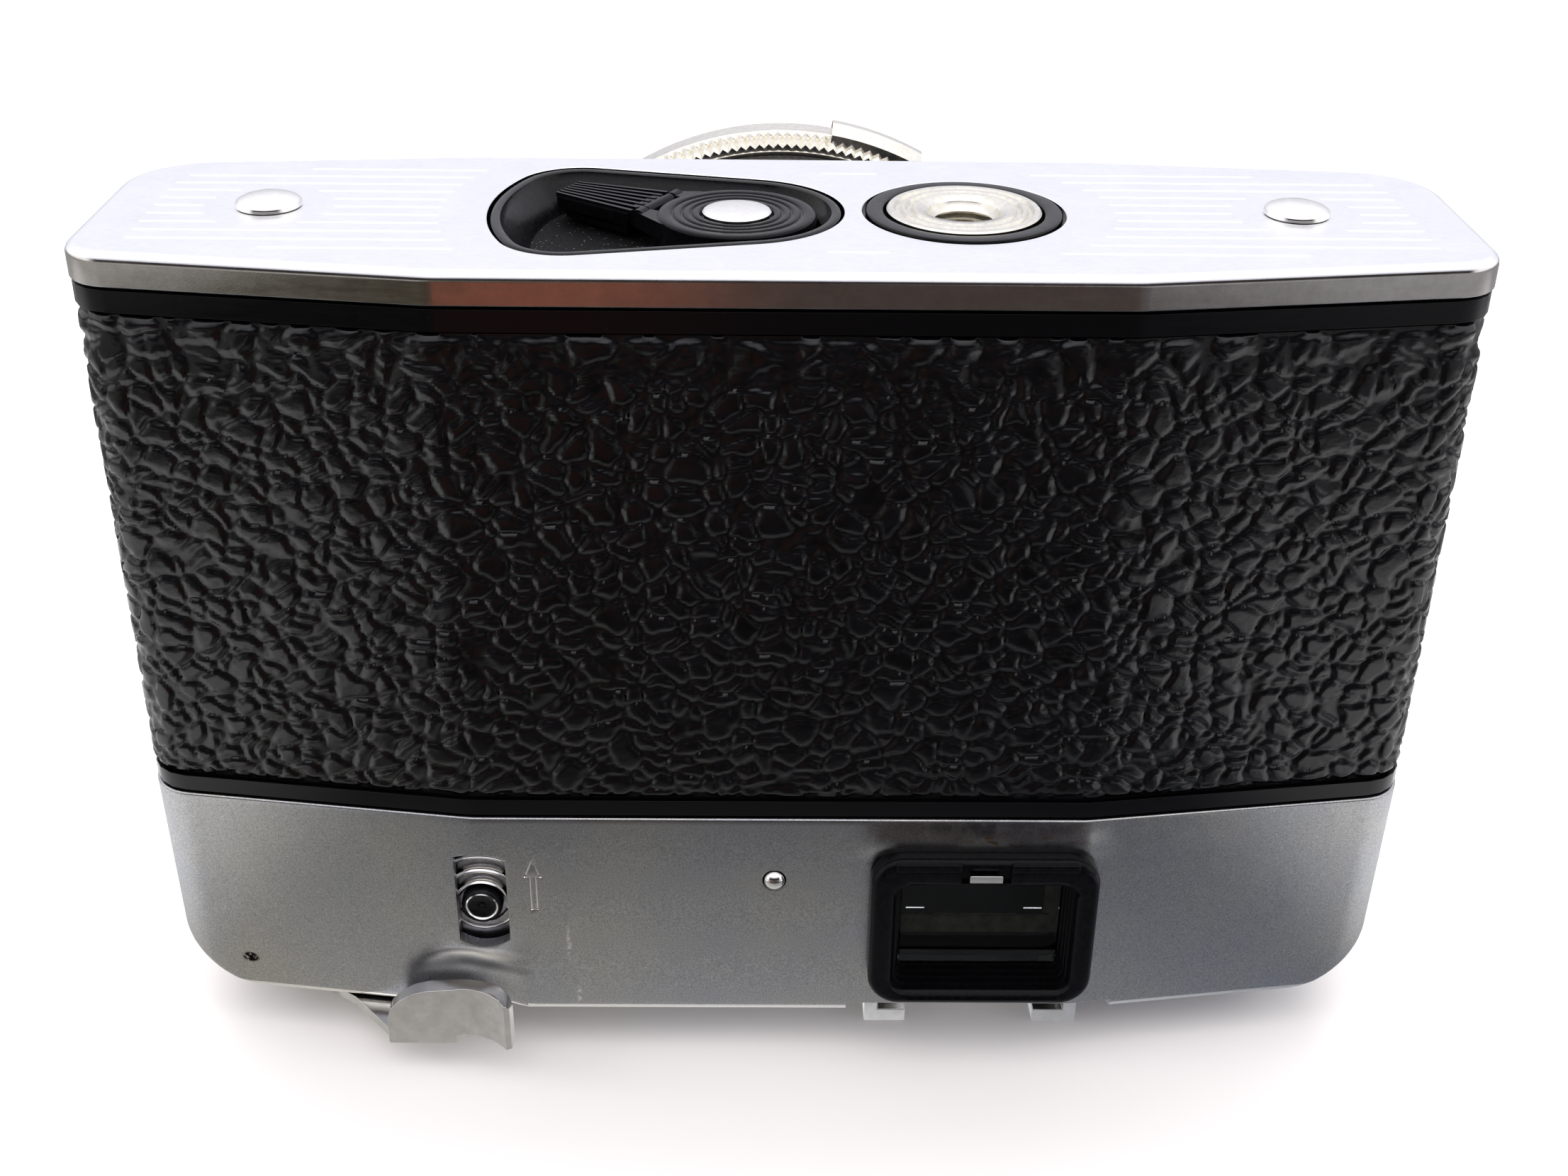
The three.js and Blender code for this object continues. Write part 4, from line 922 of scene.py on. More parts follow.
def leather_sheet(name, node, path, skin):
    """Leather over a path of plan points, as thick as the skin, its grain pressed in from the outside."""
    low, high = span(node)
    z0, z1 = low.z, high.z
    step = GRAIN_STEP
    plan = resample(path, step, closed=False)
    rows = round((z1 - z0) / step)
    edge_round = 0.9
    points, faces = [], []
    count = len(plan)
    normals = []
    for i, p in enumerate(plan):
        a, b = plan[max(i - 1, 0)], plan[min(i + 1, count - 1)]
        t = Vector((b[0] - a[0], b[1] - a[1])).normalized()
        normals.append(Vector((t.y, -t.x)))
    total = step * (count - 1)
    for k in range(rows + 1):
        z = z0 + (z1 - z0) * k / rows
        for i, p in enumerate(plan):
            from_edge = min(z - z0, z1 - z, i * step, total - i * step)
            roll = max(edge_round - from_edge, 0) / edge_round
            at = Vector((p[0], p[1], z))
            rolled = smoothstep(z, z1 - 5.0, z1 - 2.5)
            sink = grain_depth(at, rolled) + (skin - 0.1) * roll * roll
            sink = min(max(sink, 0.0), skin - 0.03)
            points.append((p[0] - normals[i].x * sink, p[1] - normals[i].y * sink, z))
    for k in range(rows):
        for i in range(count - 1):
            a = k * count + i
            faces.append((a, a + 1, a + count + 1, a + count))
    back = len(points)
    for z in (z0, z1):
        for i, p in enumerate(plan):
            points.append((p[0] - normals[i].x * skin, p[1] - normals[i].y * skin, z))
    top = rows * count
    for i in range(count - 1):
        faces.append((back + i + 1, back + i, back + count + i, back + count + i + 1))
        faces.append((i, back + i, back + i + 1, i + 1))
        faces.append((top + i, top + i + 1, back + count + i + 1, back + count + i))
    left = [k * count for k in range(rows + 1)]
    right = [k * count + count - 1 for k in range(rows + 1)]
    faces.append(tuple(left + [back + count, back]))
    faces.append(tuple(reversed(right + [back + 2 * count - 1, back + count - 1])))
    piece = mesh_object(name, points, faces)
    return shade(piece, 75)


LEATHER_SKIN = 0.59
GRAIN_STEP = 0.25


def back_leather():
    edge = span("back_leather")[1].y
    line = outline(0.0, 0.0, 10, 6)
    rear = [p for p in line if p[1] < edge - 0.5 and p[0] <= 0], [p for p in line if p[1] < edge - 0.5 and p[0] > 0]
    left = sorted(rear[0], key=lambda p: (p[0], -p[1]))
    right = sorted(rear[1], key=lambda p: (p[0], p[1]))
    end = WIDTH / 2
    path = [(-end, edge)] + left + right + [(end, edge)]
    stand_in(leather_sheet("leather_back", "back_leather", path, LEATHER_SKIN), "back_leather")


def front_leather(side, node):
    low, high = span(node)
    line = [p for p in outline(0.0, 0.0, 10, 6) if p[1] > low.y + 0.5 and p[0] * side > 0]
    line.sort(key=lambda p: (abs(p[0]), p[1]))
    inner = min(abs(low.x), abs(high.x))
    start = (side * inner, DEPTH / 2)
    path = [start] + line + [(side * WIDTH / 2, low.y)]
    if side > 0:
        path.reverse()
    piece = leather_sheet("leather_front_" + ("right" if side > 0 else "left"), node, path, LEATHER_SKIN)
    barrel_r = 24.8
    tools = [lathe("tool", [(barrel_r, 0), (barrel_r, 30)], (0, LENS_Z), "Y", 128)]
    if side > 0:
        latch_low, latch_high = span("door_latch")
        margin = 0.6
        tools.append(box_object(
            "tool",
            (55, latch_low.y - margin, latch_low.z - margin),
            (60, latch_high.y + margin, latch_high.z + 3 + margin),
        ))
    carve(piece, *tools)
    stand_in(piece, node)


# ---------------------------------------------------------------- base plate

GROOVE_PITCH = 2.2
GROOVE_HALF = 0.15
GROOVE_DEPTH = 0.12
GROOVE_ROWS = 6
FIELD_MARGIN = 4.3
FOOT_CLEAR = 5.5
TRIPOD_CLEAR = 13.0
EDGE_CLEAR = 3.6
BASE_WALL = 1.1
BASE_EDGE = 0.85
CLEARANCE = 0.3


def inside(point, polygon):
    hit = False
    for (ax, ay), (bx, by) in zip(polygon, polygon[1:] + polygon[:1]):
        if (ay > point[1]) != (by > point[1]):
            if point[0] < ax + (bx - ax) * (point[1] - ay) / (by - ay):
                hit = not hit
    return hit


def groove_spans(y, field, recess):
    """Stretches of x where an engraved line at y runs: inside the field, clear of the fittings."""
    step, spans, start = 0.1, [], None
    steps = round(WIDTH / step)
    for i in range(steps + 1):
        x = -WIDTH / 2 + i * step
        clear = (
            inside((x, y), field)
            and not inside((x, y), recess)
            and math.dist((x, y), (TRIPOD_X, AXIS_Y)) > TRIPOD_CLEAR
            and math.dist((x, y), (FOOT_X, AXIS_Y)) > FOOT_CLEAR
            and math.dist((x, y), (-FOOT_X, AXIS_Y)) > FOOT_CLEAR
        )
        if clear and start is None:
            start = x
        if not clear and start is not None:
            if x - start > 2.5:
                spans.append((start, x - step))
            start = None
    return spans


def base_cover():
    face = BASE_HIGH.z
    levels = []
    for z, inset in ((face - 1.6, BASE_WALL), (BASE_LOW.z, BASE_WALL), (BASE_LOW.z, 0.12), (BASE_LOW.z + 0.12, 0.0)):
        levels.append([(x, y, z) for x, y in outline(inset)])
    crown = 8
    for i in range(crown + 1):
        t = math.pi / 2 * i / crown
        inset = BASE_EDGE * (1 - math.cos(t))
        levels.append([(x, y, face - BASE_EDGE * (1 - math.sin(t))) for x, y in outline(inset)])
    plate = loft("base_plate_cover", levels)
    field = outline(EDGE_CLEAR, 1.2)
    recess = recess_outline(-FIELD_MARGIN)
    grooves = []
    for k in range(-GROOVE_ROWS, GROOVE_ROWS + 1):
        y = AXIS_Y + k * GROOVE_PITCH
        for x0, x1 in groove_spans(y, field, recess):
            r = GROOVE_HALF
            stadium = arc(x1 - r, y, r, -math.pi / 2, math.pi / 2, 5) + arc(
                x0 + r, y, r, math.pi / 2, 3 * math.pi / 2, 5
            )
            grooves.append(prism("groove", stadium, face - GROOVE_DEPTH, face + 1))
    ring_r = (span("tripod_ring")[1].x - span("tripod_ring")[0].x) / 2 + CLEARANCE
    carve(
        plate,
        merge("grooves", *grooves),
        prism("recess", recess_outline(-CLEARANCE), 70, 90),
        lathe("socket", [(ring_r, 70), (ring_r, 90)], (TRIPOD_X, AXIS_Y)),
        lathe("foot", [(1.5, 70), (1.5, 90)], (-FOOT_X, AXIS_Y), sides=32),
        lathe("foot", [(1.5, 70), (1.5, 90)], (FOOT_X, AXIS_Y), sides=32),
    )
    soften(plate, 0.05, 1, 50)
    plate.data.materials.append(MATERIALS["base_plate"])
    plate.data.materials.append(BASE_SIDE)
    plate.data.materials.append(MATERIALS["spring_steel"])
    for polygon in plate.data.polygons:
        upright = abs(polygon.normal.z) < 0.45
        # Groove floors take the darker spring steel: painted shade in the engraved lines.
        floor = polygon.normal.z > 0.9 and polygon.center.z < (face - GROOVE_DEPTH / 2) * MM
        polygon.material_index = 1 if upright and polygon.center.z < (face - 0.25) * MM else 2 if floor else 0
    shade(plate)
    stand_in(plate, "base_cover")


def feet():
    for node, x in (("base_foot_left", -FOOT_X), ("base_foot_right", FOOT_X)):
        top = span(node)[1].z
        seat = BASE_HIGH.z + 0.04
        profile = [(0.01, 77.6), (1.2, 77.6), (1.2, seat), (2.75, seat), (2.85, seat + 0.1), (2.85, seat + 0.3)]
        dome = 8
        for i in range(1, dome + 1):
            t = math.pi / 2 * i / dome
            profile.append((max(2.85 * math.cos(t), 0.01), seat + 0.3 + (top - seat - 0.3) * math.sin(t)))
        piece = lathe("foot_" + node.rsplit("_", 1)[1], profile, (x, AXIS_Y), sides=64)
        piece.data.materials.append(MIRROR_STUD)
        stand_in(shade(piece), node)


# ---------------------------------------------------------------- tripod socket


def tripod_bush():
    low, high = span("tripod_bush")
    top, bore = high.z, 2.55
    profile = [(bore, low.z), (5.2, low.z), (5.2, 78.85), (6.7, 78.85), (6.7, top - 0.15), (6.55, top)]
    for r in (5.75, 4.75):
        profile += [(r + 0.34, top), (r + 0.16, top - 0.3), (r - 0.16, top - 0.3), (r - 0.34, top)]
    profile += [(3.75, top), (3.15, top - 0.35)]
    z = top - 0.75
    while z > low.z + 0.8:
        profile += [(bore + 0.45, z), (bore, z - 0.32)]
        z -= 0.64
    stand_in(shade(lathe("tripod_socket", profile, (TRIPOD_X, AXIS_Y), ring=True)), "tripod_bush")


def tripod_ring():
    low, high = span("tripod_ring")
    r = (high.x - low.x) / 2
    profile = [(7.0, low.z), (r, low.z), (r, high.z - 0.22), (r - 0.12, high.z - 0.06), (r - 0.35, high.z)]
    profile += [(7.2, high.z), (7.0, high.z - 0.15)]
    stand_in(shade(lathe("tripod_surround", profile, (TRIPOD_X, AXIS_Y), ring=True)), "tripod_ring")


# ---------------------------------------------------------------- rewind crank

PAN_FLOOR = 77.0
PAN_WALL = 0.9
PAN_SLOPE = 2.2


def crank_recess():
    low, high = span("crank_recess")
    rim = high.z
    steps = [
        (PAN_SLOPE, low.z), (0.0, low.z + 2.4), (0.0, rim - 0.15), (0.12, rim - 0.03), (0.3, rim),
        (PAN_WALL - 0.25, rim), (PAN_WALL - 0.08, rim - 0.08), (PAN_WALL, rim - 0.35),
        (PAN_WALL + 0.25, rim - 0.75), (PAN_SLOPE + PAN_WALL - 0.2, PAN_FLOOR + 0.25),
        (PAN_SLOPE + PAN_WALL + 0.1, PAN_FLOOR),
    ]
    pan = loft("crank_pan", [[(x, y, z) for x, y in recess_outline(i)] for i, z in steps])
    carve(
        pan,
        lathe("well", [(7.3, PAN_FLOOR), (7.3, 90)], (CRANK_X, AXIS_Y)),
        lathe("bore", [(2.4, 70), (2.4, 90)], (CRANK_X, AXIS_Y), sides=32),
    )
    pan.data.materials.append(MATERIALS["recess_plastic"])
    pan.data.materials.append(RECESS_FLOOR)
    for polygon in pan.data.polygons:
        flat = polygon.normal.z > 0.9 and polygon.center.z < (PAN_FLOOR + 0.2) * MM
        polygon.material_index = 1 if flat else 0
    stand_in(shade(pan), "crank_recess")


def crank_hub():
    high = span("crank_hub")[1].z
    r, low = 6.9, 77.4
    profile = [(0.01, 74.5), (1.8, 74.5), (1.8, low), (r, low), (r, high - 0.25), (r - 0.1, high - 0.08), (r - 0.28, high)]
    for groove in (5.6, 4.75, 3.95):
        profile += [(groove + 0.16, high), (groove + 0.1, high - 0.13), (groove - 0.1, high - 0.13), (groove - 0.16, high)]
    profile += [(3.3, high), (3.2, high - 0.12), (3.2, high - 0.42), (0.01, high - 0.42)]
    hub = lathe("crank_disc", profile, (CRANK_X, AXIS_Y))
    ears = []
    for inner in (-3.5, 2.3):
        ears.append(lathe("knuckle", [(0.85, inner), (0.85, inner + 1.2)], (7.9, 79.0), "Y", 32))
    for side in (-1, 1):
        wing = [(2.0, side * 6.5), (8.1, side * 3.5), (8.1, side * 2.2), (4.0, side * 2.2)]
        ears.append(prism("wing", wing[::side], 78.2, high - 0.25))
    turn_about_crank(ears)
    weld_on(hub, *ears)
    soften(hub, 0.06, 1, 50)
    stand_in(shade(hub), "crank_hub")


def crank_handle():
    """Folding grip with fanned ribs over a thin blade, drawn along its own +X."""
    grip = prism("crank_grip", [
        (8.9, -3.3), (9.2, -3.45), (17.0, -2.15), (17.5, -1.5), (17.5, 1.5), (17.0, 2.15), (9.2, 3.45), (8.9, 3.3),
    ], 78.3, 79.3)
    blade = prism("blade", [(9.2, -3.3), (16.4, -1.7), (16.4, 1.7), (9.2, 3.3)], 77.45, 77.95)
    web = prism("web", [(9.4, -2.9), (10.6, -2.7), (10.6, 2.7), (9.4, 2.9)], 77.7, 78.5)
    lug = box_object("lug", (7.9, -2.1, 78.75), (9.4, 2.1, 79.55))
    knuckle = lathe("knuckle", [(0.01, -2.1), (0.62, -2.1), (0.62, 2.1), (0.01, 2.1)], (7.9, 79.2), "Y", 32)
    ribs = []
    for i in range(-3, 4):
        near, far = i * 1.02, i * 0.58
        ribs.append(prism("rib", [(8.7, near - 0.2), (17.3, far - 0.13), (17.3, far + 0.13), (8.7, near + 0.2)], 79.2, 79.62))
    weld_on(grip, blade, web, lug, knuckle, *ribs)
    soften(grip, 0.08, 2, 40)
    turn_about_crank([grip])
    stand_in(shade(grip), "crank_handle")


def turn_about_crank(pieces):
    """Turns meshes drawn along the handle's own +X, about the origin, to their place on the crank."""
    turn = Matrix.Translation(row(CRANK_X, AXIS_Y, 0)) @ Matrix.Rotation(CRANK_ANGLE, 4, "Z")
    for piece in pieces:
        piece.data.transform(turn @ Matrix.Translation(-row(0, 0, 0)))


def crank_cap():
    low, high = span("crank_cap")
    r = (high.x - low.x) / 2
    profile = [(0.01, low.z), (r, low.z), (r, low.z + 0.2), (r - 0.1, low.z + 0.3)]
    for i in range(1, 9):
        t = math.pi / 2 * i / 8
        profile.append((max((r - 0.1) * math.cos(t), 0.01), low.z + 0.3 + (high.z - low.z - 0.3) * math.sin(t)))
    piece = lathe("crank_button", profile, (CRANK_X, AXIS_Y))
    piece.data.materials.append(MIRROR_STUD)
    stand_in(shade(piece), "crank_cap")


# ---------------------------------------------------------------- top cover

COVER_WALL = 1.2
COVER_DRAFT = 0.02
END_ROUND = 6.5
EDGE_ROUND = 1.2
NOTCH_TOP = 5.7
RIM_ROUND = 0.24
DISH = {"x": -29.7, "z": 7.0, "half_x": 6.0, "half_z": 5.0, "depth": 1.75}
SWELL = {"x": 19.2, "half_x": 9.0, "edge_x": 3.2, "top": 27.7, "crest": 25.2, "foot": 24.0, "height": 0.5}


def dished(x, y, z):
    """A point of the cover's skin moved in by the thumb dish or out by the swelling at the eyepiece."""
    if y > -8:
        return (x, y, z)
    u = math.hypot((x - DISH["x"]) / DISH["half_x"], (z - DISH["z"]) / DISH["half_z"])
    sink = DISH["depth"] * max(1 - u * u, 0.0) ** 1.25
    side = smoothstep(abs(x - SWELL["x"]), SWELL["half_x"] + SWELL["edge_x"], SWELL["half_x"])
    rise = SWELL["height"] * side * smoothstep(z, SWELL["top"], SWELL["crest"])
    rise *= smoothstep(z, SWELL["foot"] - 0.4, SWELL["foot"])
    return (x, y + sink - rise, z)


def cover_levels(shrink, lift, top):
    """Levels of the cover's skin from its flat face to its rim, each a plan outline at a height."""
    levels = []
    face = COVER_LOW.z
    steps = 14
    for i in range(steps + 1):
        t = math.pi / 2 * i / steps
        z = face + END_ROUND * (1 - math.cos(t))
        ends = END_ROUND * (1 - math.sin(t))
        edge = max(EDGE_ROUND - (z - face), 0)
        rounding = EDGE_ROUND - math.sqrt(EDGE_ROUND**2 - edge**2)
        draft = COVER_DRAFT * (COVER_HIGH.z - z)
        levels.append((draft + rounding + shrink, ends, z + lift))
    last = levels[-1][2]
    rows = 24
    for i in range(1, rows + 1):
        z = last + (top - last) * i / rows
        levels.append((COVER_DRAFT * max(COVER_HIGH.z - z, 0) + shrink, 0.0, z))
    return levels


def rim_round(levels):
    """The outer levels with their last few pulled in round the rim."""
    levels = levels[:-1]
    for i in range(5):
        t = math.pi / 2 * i / 4
        z = COVER_HIGH.z - RIM_ROUND * (1 - math.sin(t))
        levels.append((RIM_ROUND * (1 - math.cos(t)), 0.0, z))
    return levels


def rear_fill(line):
    """Extra points on the straight stretches of the back, the same count at every level."""
    points = []
    for i, (a, b) in enumerate(zip(line, line[1:] + line[:1])):
        points.append(a)
        count = REAR_SPLITS.get(i, 0)
        for k in range(1, count):
            t = k / count
            points.append((a[0] + (b[0] - a[0]) * t, a[1] + (b[1] - a[1]) * t))
    return points


BEND, CORNER = 4, 10
REAR_SPLITS = {BEND: 64, 2 * BEND + 1: 20, 4 * (BEND + CORNER + 2) - 1: 34}


def top_cover():
    outer = [
        [dished(x, y, z) for x, y in rear_fill(outline(inset, ends))]
        for inset, ends, z in rim_round(cover_levels(0, 0, COVER_HIGH.z))
    ]
    inner = [
        [dished(x, y, z) for x, y in rear_fill(outline(inset, ends))]
        for inset, ends, z in cover_levels(COVER_WALL, COVER_WALL, COVER_HIGH.z)
    ]
    cover = loft("top_cover_shell", outer + inner[::-1])
    weld_on(cover, box_object("pad", (5, -14.2, COVER_LOW.z + 0.6), (34, 12, NOTCH_TOP + 1.1)))
    notch = [(6.5, -20), (33, -20), (30.9, 10.3), (8.0, 10.3)]
    lever_x = (span("lever_hub_cap")[0].x + span("lever_hub_cap")[1].x) / 2
    button_low, button_high = span("release_button")
    button = ((button_low.x + button_high.x) / 2, (button_low.y + button_high.y) / 2)
    button_r = (button_high.x - button_low.x) / 2
    eye_low, eye_high = span("eyepiece_frame")
    front_low, front_high = span("front_window_frame")
    window_low, window_high = span("counter_window")
    window = ((window_low.x + window_high.x) / 2, (window_low.y + window_high.y) / 2)
    window_r = (window_high.x - window_low.x) / 2
    pin_low, pin_high = span("indicator_pin")
    pin = ((pin_low.x + pin_high.x) / 2, (pin_low.z + pin_high.z) / 2)
    pin_r = (pin_high.x - pin_low.x) / 2
    carve(
        cover,
        prism("tool", notch, 0, NOTCH_TOP),
        lathe("tool", [(3.2, 0), (3.2, 8)], (lever_x, AXIS_Y), sides=48),
        lathe("tool", [(button_r + 0.3, 0), (button_r + 0.3, 8)], button, sides=64),
        lathe("tool", [(window_r + 0.2, 0), (window_r + 0.2, 6)], window, sides=48),
        box_object("tool", (eye_low.x + 0.6, -20, eye_low.z + 0.5), (eye_high.x - 0.9, -10, eye_high.z - 1.6)),
        box_object("tool", (front_low.x + 1.5, 10, front_low.z + 1.6), (front_high.x - 1.5, 20, front_high.z - 1.6)),
        slider_window(),
        lathe("tool", [(pin_r + 0.12, -20), (pin_r + 0.12, -10)], pin, "Y", 48),
        *arrow_grooves(),
    )
    soften(cover, 0.09, 2, 50)
    cover.data.materials.append(MATERIALS["satin_chrome"])
    cover.data.materials.append(MIRROR_STUD)
    for polygon in cover.data.polygons:
        at = (polygon.center - row(0, 0, 0)) / MM
        # The downward-tipped faces of the rounded lower rim take the bright mirror metal as a painted highlight line;
        # the engraved arrow takes it as its light infill.
        edge = at.z < COVER_LOW.z + 0.9 and -0.97 < polygon.normal.z < -0.2
        arrow = (
            abs(at.x - ARROW["x"]) < 1 and ARROW["foot"] - 0.2 < at.z < ARROW["tip"] + 0.3
            and 0.04 < at.y + DEPTH / 2 - COVER_DRAFT * (COVER_HIGH.z - at.z) < 0.5
        )
        polygon.material_index = 1 if edge or arrow else 0
    stand_in(shade(cover, 40), "top_cover")


ARROW = {"x": -23.0, "tip": 22.9, "barb": 21.0, "foot": 17.2, "half_head": 0.74, "half_stem": 0.28}
GROOVE_LINE = 0.07
ENGRAVED = 0.2


def arrow_grooves():
    """Cutters for the outline of an arrow that points to the base."""
    a = ARROW
    x = a["x"]
    corners = [
        (x - a["half_stem"], a["foot"]), (x - a["half_stem"], a["barb"]), (x - a["half_head"], a["barb"]),
        (x, a["tip"]), (x + a["half_head"], a["barb"]), (x + a["half_stem"], a["barb"]),
        (x + a["half_stem"], a["foot"]),
    ]
    tools = []
    for p, q in zip(corners, corners[1:] + corners[:1]):
        along = (Vector(q) - Vector(p)).normalized() * GROOVE_LINE
        side = Vector((-along.y, along.x))
        start, end = Vector(p) - along, Vector(q) + along
        bar = [start - side, end - side, end + side, start + side]
        tools.append(prism_y("tool", [tuple(c) for c in bar], -20, -DEPTH / 2 + ENGRAVED + 0.14))
    return tools


# ---------------------------------------------------------------- slider and pin

SLIDER_X0, SLIDER_X1 = -30.35, -25.5
SLIDER_Z0, SLIDER_Z1 = 12.6, 23.5
SLIDER_BUTTON = (-28.1, 16.9)


def slider_window():
    """Cutter for the window in the cover, its ends struck about the slider's button."""
    bx, bz = SLIDER_BUTTON
    corners = []
    for reach, side in ((SLIDER_Z1 - bz, 1), (bz - SLIDER_Z0, -1)):
        start = math.acos((SLIDER_X1 - bx) / reach)
        end = math.acos((SLIDER_X0 - bx) / reach)
        sweep = arc(bx, bz, reach, side * start, side * end, 12)
        corners += sweep if side > 0 else sweep[::-1]
    return prism_y("tool", corners, -20, -10)


def ridges(name, rings, base, upper):
    """Raised arcs about the slider's button, (middle, half width, crest) each, above or below it."""
    bx, bz = SLIDER_BUTTON
    made = []
    for middle, half, crest in rings:
        profile = [(middle - half, base)]
        for i in range(7):
            t = math.pi * i / 6
            profile.append((middle - half * math.cos(t), base + (crest - base) * math.sin(t)))
        profile.append((middle + half, base))
        profile.append((middle, base + 0.2))
        made.append(lathe("ridge", profile, SLIDER_BUTTON, "Y", 96, ring=True))
    piece = merge(name, *made)
    z0, z1 = (bz + 0.9, SLIDER_Z1 + 0.5) if upper else (SLIDER_Z0 - 0.2, bz - 0.9)
    clip = box_object("clip", (SLIDER_X0 - 0.2, -20, z0), (SLIDER_X1 + 0.2, -10, z1))
    return combine(piece, [clip], "INTERSECT")


def rewind_slider():
    low, high = span("rewind_slider")
    seat = -14.2
    plate = box_object("rewind_slider_plate", (low.x, seat, 12.3), (high.x, -12.6, high.z + 0.3))
    tail = box_object("tail", (low.x, -13.3, low.z), (high.x, -12.6, 13.2))
    weld_on(plate, tail)
    stand_in(shade(plate, 30), "rewind_slider")
    button = lathe("rewind_slider_button", [
        (0.01, seat + 0.1), (1.95, seat + 0.1), (1.95, -15.1), (1.8, -15.4), (1.62, -15.5), (1.3, -15.3),
        (0.9, -15.15), (0.42, -15.1), (0.36, -15.0), (0.22, -15.0), (0.16, -15.12), (0.01, -15.16),
    ], SLIDER_BUTTON, "Y", 64)
    ring = lathe("rewind_slider_ring", [
        (1.28, -15.2), (1.34, -15.45), (1.44, -15.53), (1.56, -15.45), (1.62, -15.2),
    ], SLIDER_BUTTON, "Y", 64, ring=True)
    upper = ridges("rewind_slider_ribs", ((2.4, 0.3, -14.95), (3.75, 0.36, -14.92), (5.35, 0.36, -14.92)), seat, True)
    lower = ridges("rewind_slider_arcs", ((2.5, 0.14, -14.5), (3.3, 0.14, -14.45)), seat, False)
    body = BODIES["rewind_slider"]
    place(shade(button), MATERIALS["black_anodised"], body, SLOTS["rewind_slider"])
    for piece in (ring, upper, lower):
        place(shade(piece), MIRROR_STUD, body, SLOTS["rewind_slider"])


def indicator_pin():
    low, high = span("indicator_pin")
    r = (high.x - low.x) / 2
    centre = ((low.x + high.x) / 2, (low.z + high.z) / 2)
    profile = [(0.01, -13), (r, -13), (r, low.y + 0.75)]
    for i in range(1, 9):
        t = math.pi / 2 * i / 8
        profile.append((max(r * math.cos(t), 0.01), low.y + 0.75 - 0.75 * math.sin(t)))
    piece = lathe("indicator_stud", profile, centre, "Y", 48)
    piece.data.materials.append(MIRROR_STUD)
    stand_in(shade(piece), "indicator_pin")


# ---------------------------------------------------------------- eyepiece


def rect_ring(name, levels):
    """Ring of rounded rectangles: each level is (x0, x1, z0, z1, corner, y)."""
    return loft(name, [[(x, y, z) for x, z in rounded_rect(*rect)] for *rect, y in levels], ring=True)


EYE_MARGIN = (2.4, 2.2, 1.6, 3.1)  # left, right, bottom and top


def eyepiece():
    low, high = span("eyepiece_frame")
    x0, x1, z0, z1 = low.x, high.x, low.z, high.z
    hx0, hx1 = x0 + EYE_MARGIN[0], x1 - EYE_MARGIN[1]
    hz0, hz1 = z0 + EYE_MARGIN[2], z1 - EYE_MARGIN[3]
    front, wall = low.y, -16.55
    depth = -13.1

    def outer(inset, y):
        return (x0 + inset, x1 - inset, z0 + inset, z1 - inset, 3 - inset * 0.8, y)

    def mouth(inset, y, r):
        return (hx0 + inset, hx1 - inset, hz0 + inset, hz1 - inset, max(r - inset, 0.25), y)

    levels = [outer(0, wall), outer(0, front + 0.75), outer(0.12, front + 0.38), outer(0.38, front + 0.1), outer(0.75, front)]
    levels += [mouth(-0.9, front, 1.6), mouth(-0.45, front + 0.12, 1.5), mouth(-0.12, front + 0.5, 1.4)]
    y, inset = front + 0.8, 0.0
    for _ in range(4):
        levels += [mouth(inset, y, 1.3), mouth(inset, y + 0.5, 1.3), mouth(inset + 0.16, y + 0.56, 1.3)]
        y, inset = y + 0.74, inset + 0.16
    levels += [mouth(inset, y, 1.2), mouth(inset, depth, 1.2), mouth(-1.1, depth, 1.2), mouth(-1.1, wall, 1.2)]
    frame_piece = rect_ring("eyepiece_surround", levels)
    catch_low, catch_high = span("eyepiece_catch")
    carve(frame_piece, box_object(
        "gap", (catch_low.x - 0.75, -20, catch_low.z - 0.2), (catch_high.x + 0.75, front + 0.5, catch_high.z + 0.75)
    ))
    soften(frame_piece, 0.07, 2, 50)
    stand_in(shade(frame_piece, 35), "eyepiece_frame")
    lips = []
    for left, right in ((x0 + 2.2, catch_low.x - 0.75), (catch_high.x + 0.75, x1 - 2.2)):
        lips.append(box_object("eyepiece_lip", (left, front - 0.4, z1 - 0.95), (right, front + 0.2, z1 - 0.1)))
    for i, lip in enumerate(lips):
        lip.name = "eyepiece_lip_%d" % (i + 1)
        soften(lip, 0.16, 3, 40)
        place(shade(lip), MATERIALS["black_plastic"], BODIES["eyepiece_frame"], SLOTS["eyepiece_frame"])


def finder_mask():
    """Dull mask inside the finder with its bright frame lines."""
    low, high = span("viewfinder_housing")
    x0, x1, z0, z1 = low.x + 1.05, high.x - 1.05, low.z + 1.05, high.z - 1.05
    y = low.y + 3.2
    mask = box_object("finder_mask", (x0, y, z0), (x1, y + 0.5, z1))
    hole = prism_y("hole", rounded_rect(x0 + 1.5, x1 - 1.5, z0 + 2.0, z1 - 1.2, 0.5), y - 1, y + 2)
    carve(mask, hole)
    place(shade(mask), OLIVE_MASK, BODIES["viewfinder_housing"], SLOTS["viewfinder_housing"])
    bars = []
    for left in (x0 + 1.2, x1 - 4.4):
        bars.append(box_object("bar", (left, y - 0.35, z0 + 2.5), (left + 3.4, y - 0.1, z0 + 2.68)))
        bars.append(box_object("bar", (left + 0.8, y - 0.35, z0 + 3.2), (left + 2.6, y - 0.1, z0 + 3.36)))
    lines = merge("finder_frame_lines", *bars)
    place(shade(lines), MIRROR_STUD, BODIES["viewfinder_housing"], SLOTS["viewfinder_housing"])


# ---------------------------------------------------------------- lens


def lens_ring(name, node, profile, sides=160):
    stand_in(shade(lathe(name, profile, (0, LENS_Z), "Y", sides, ring=True)), node)


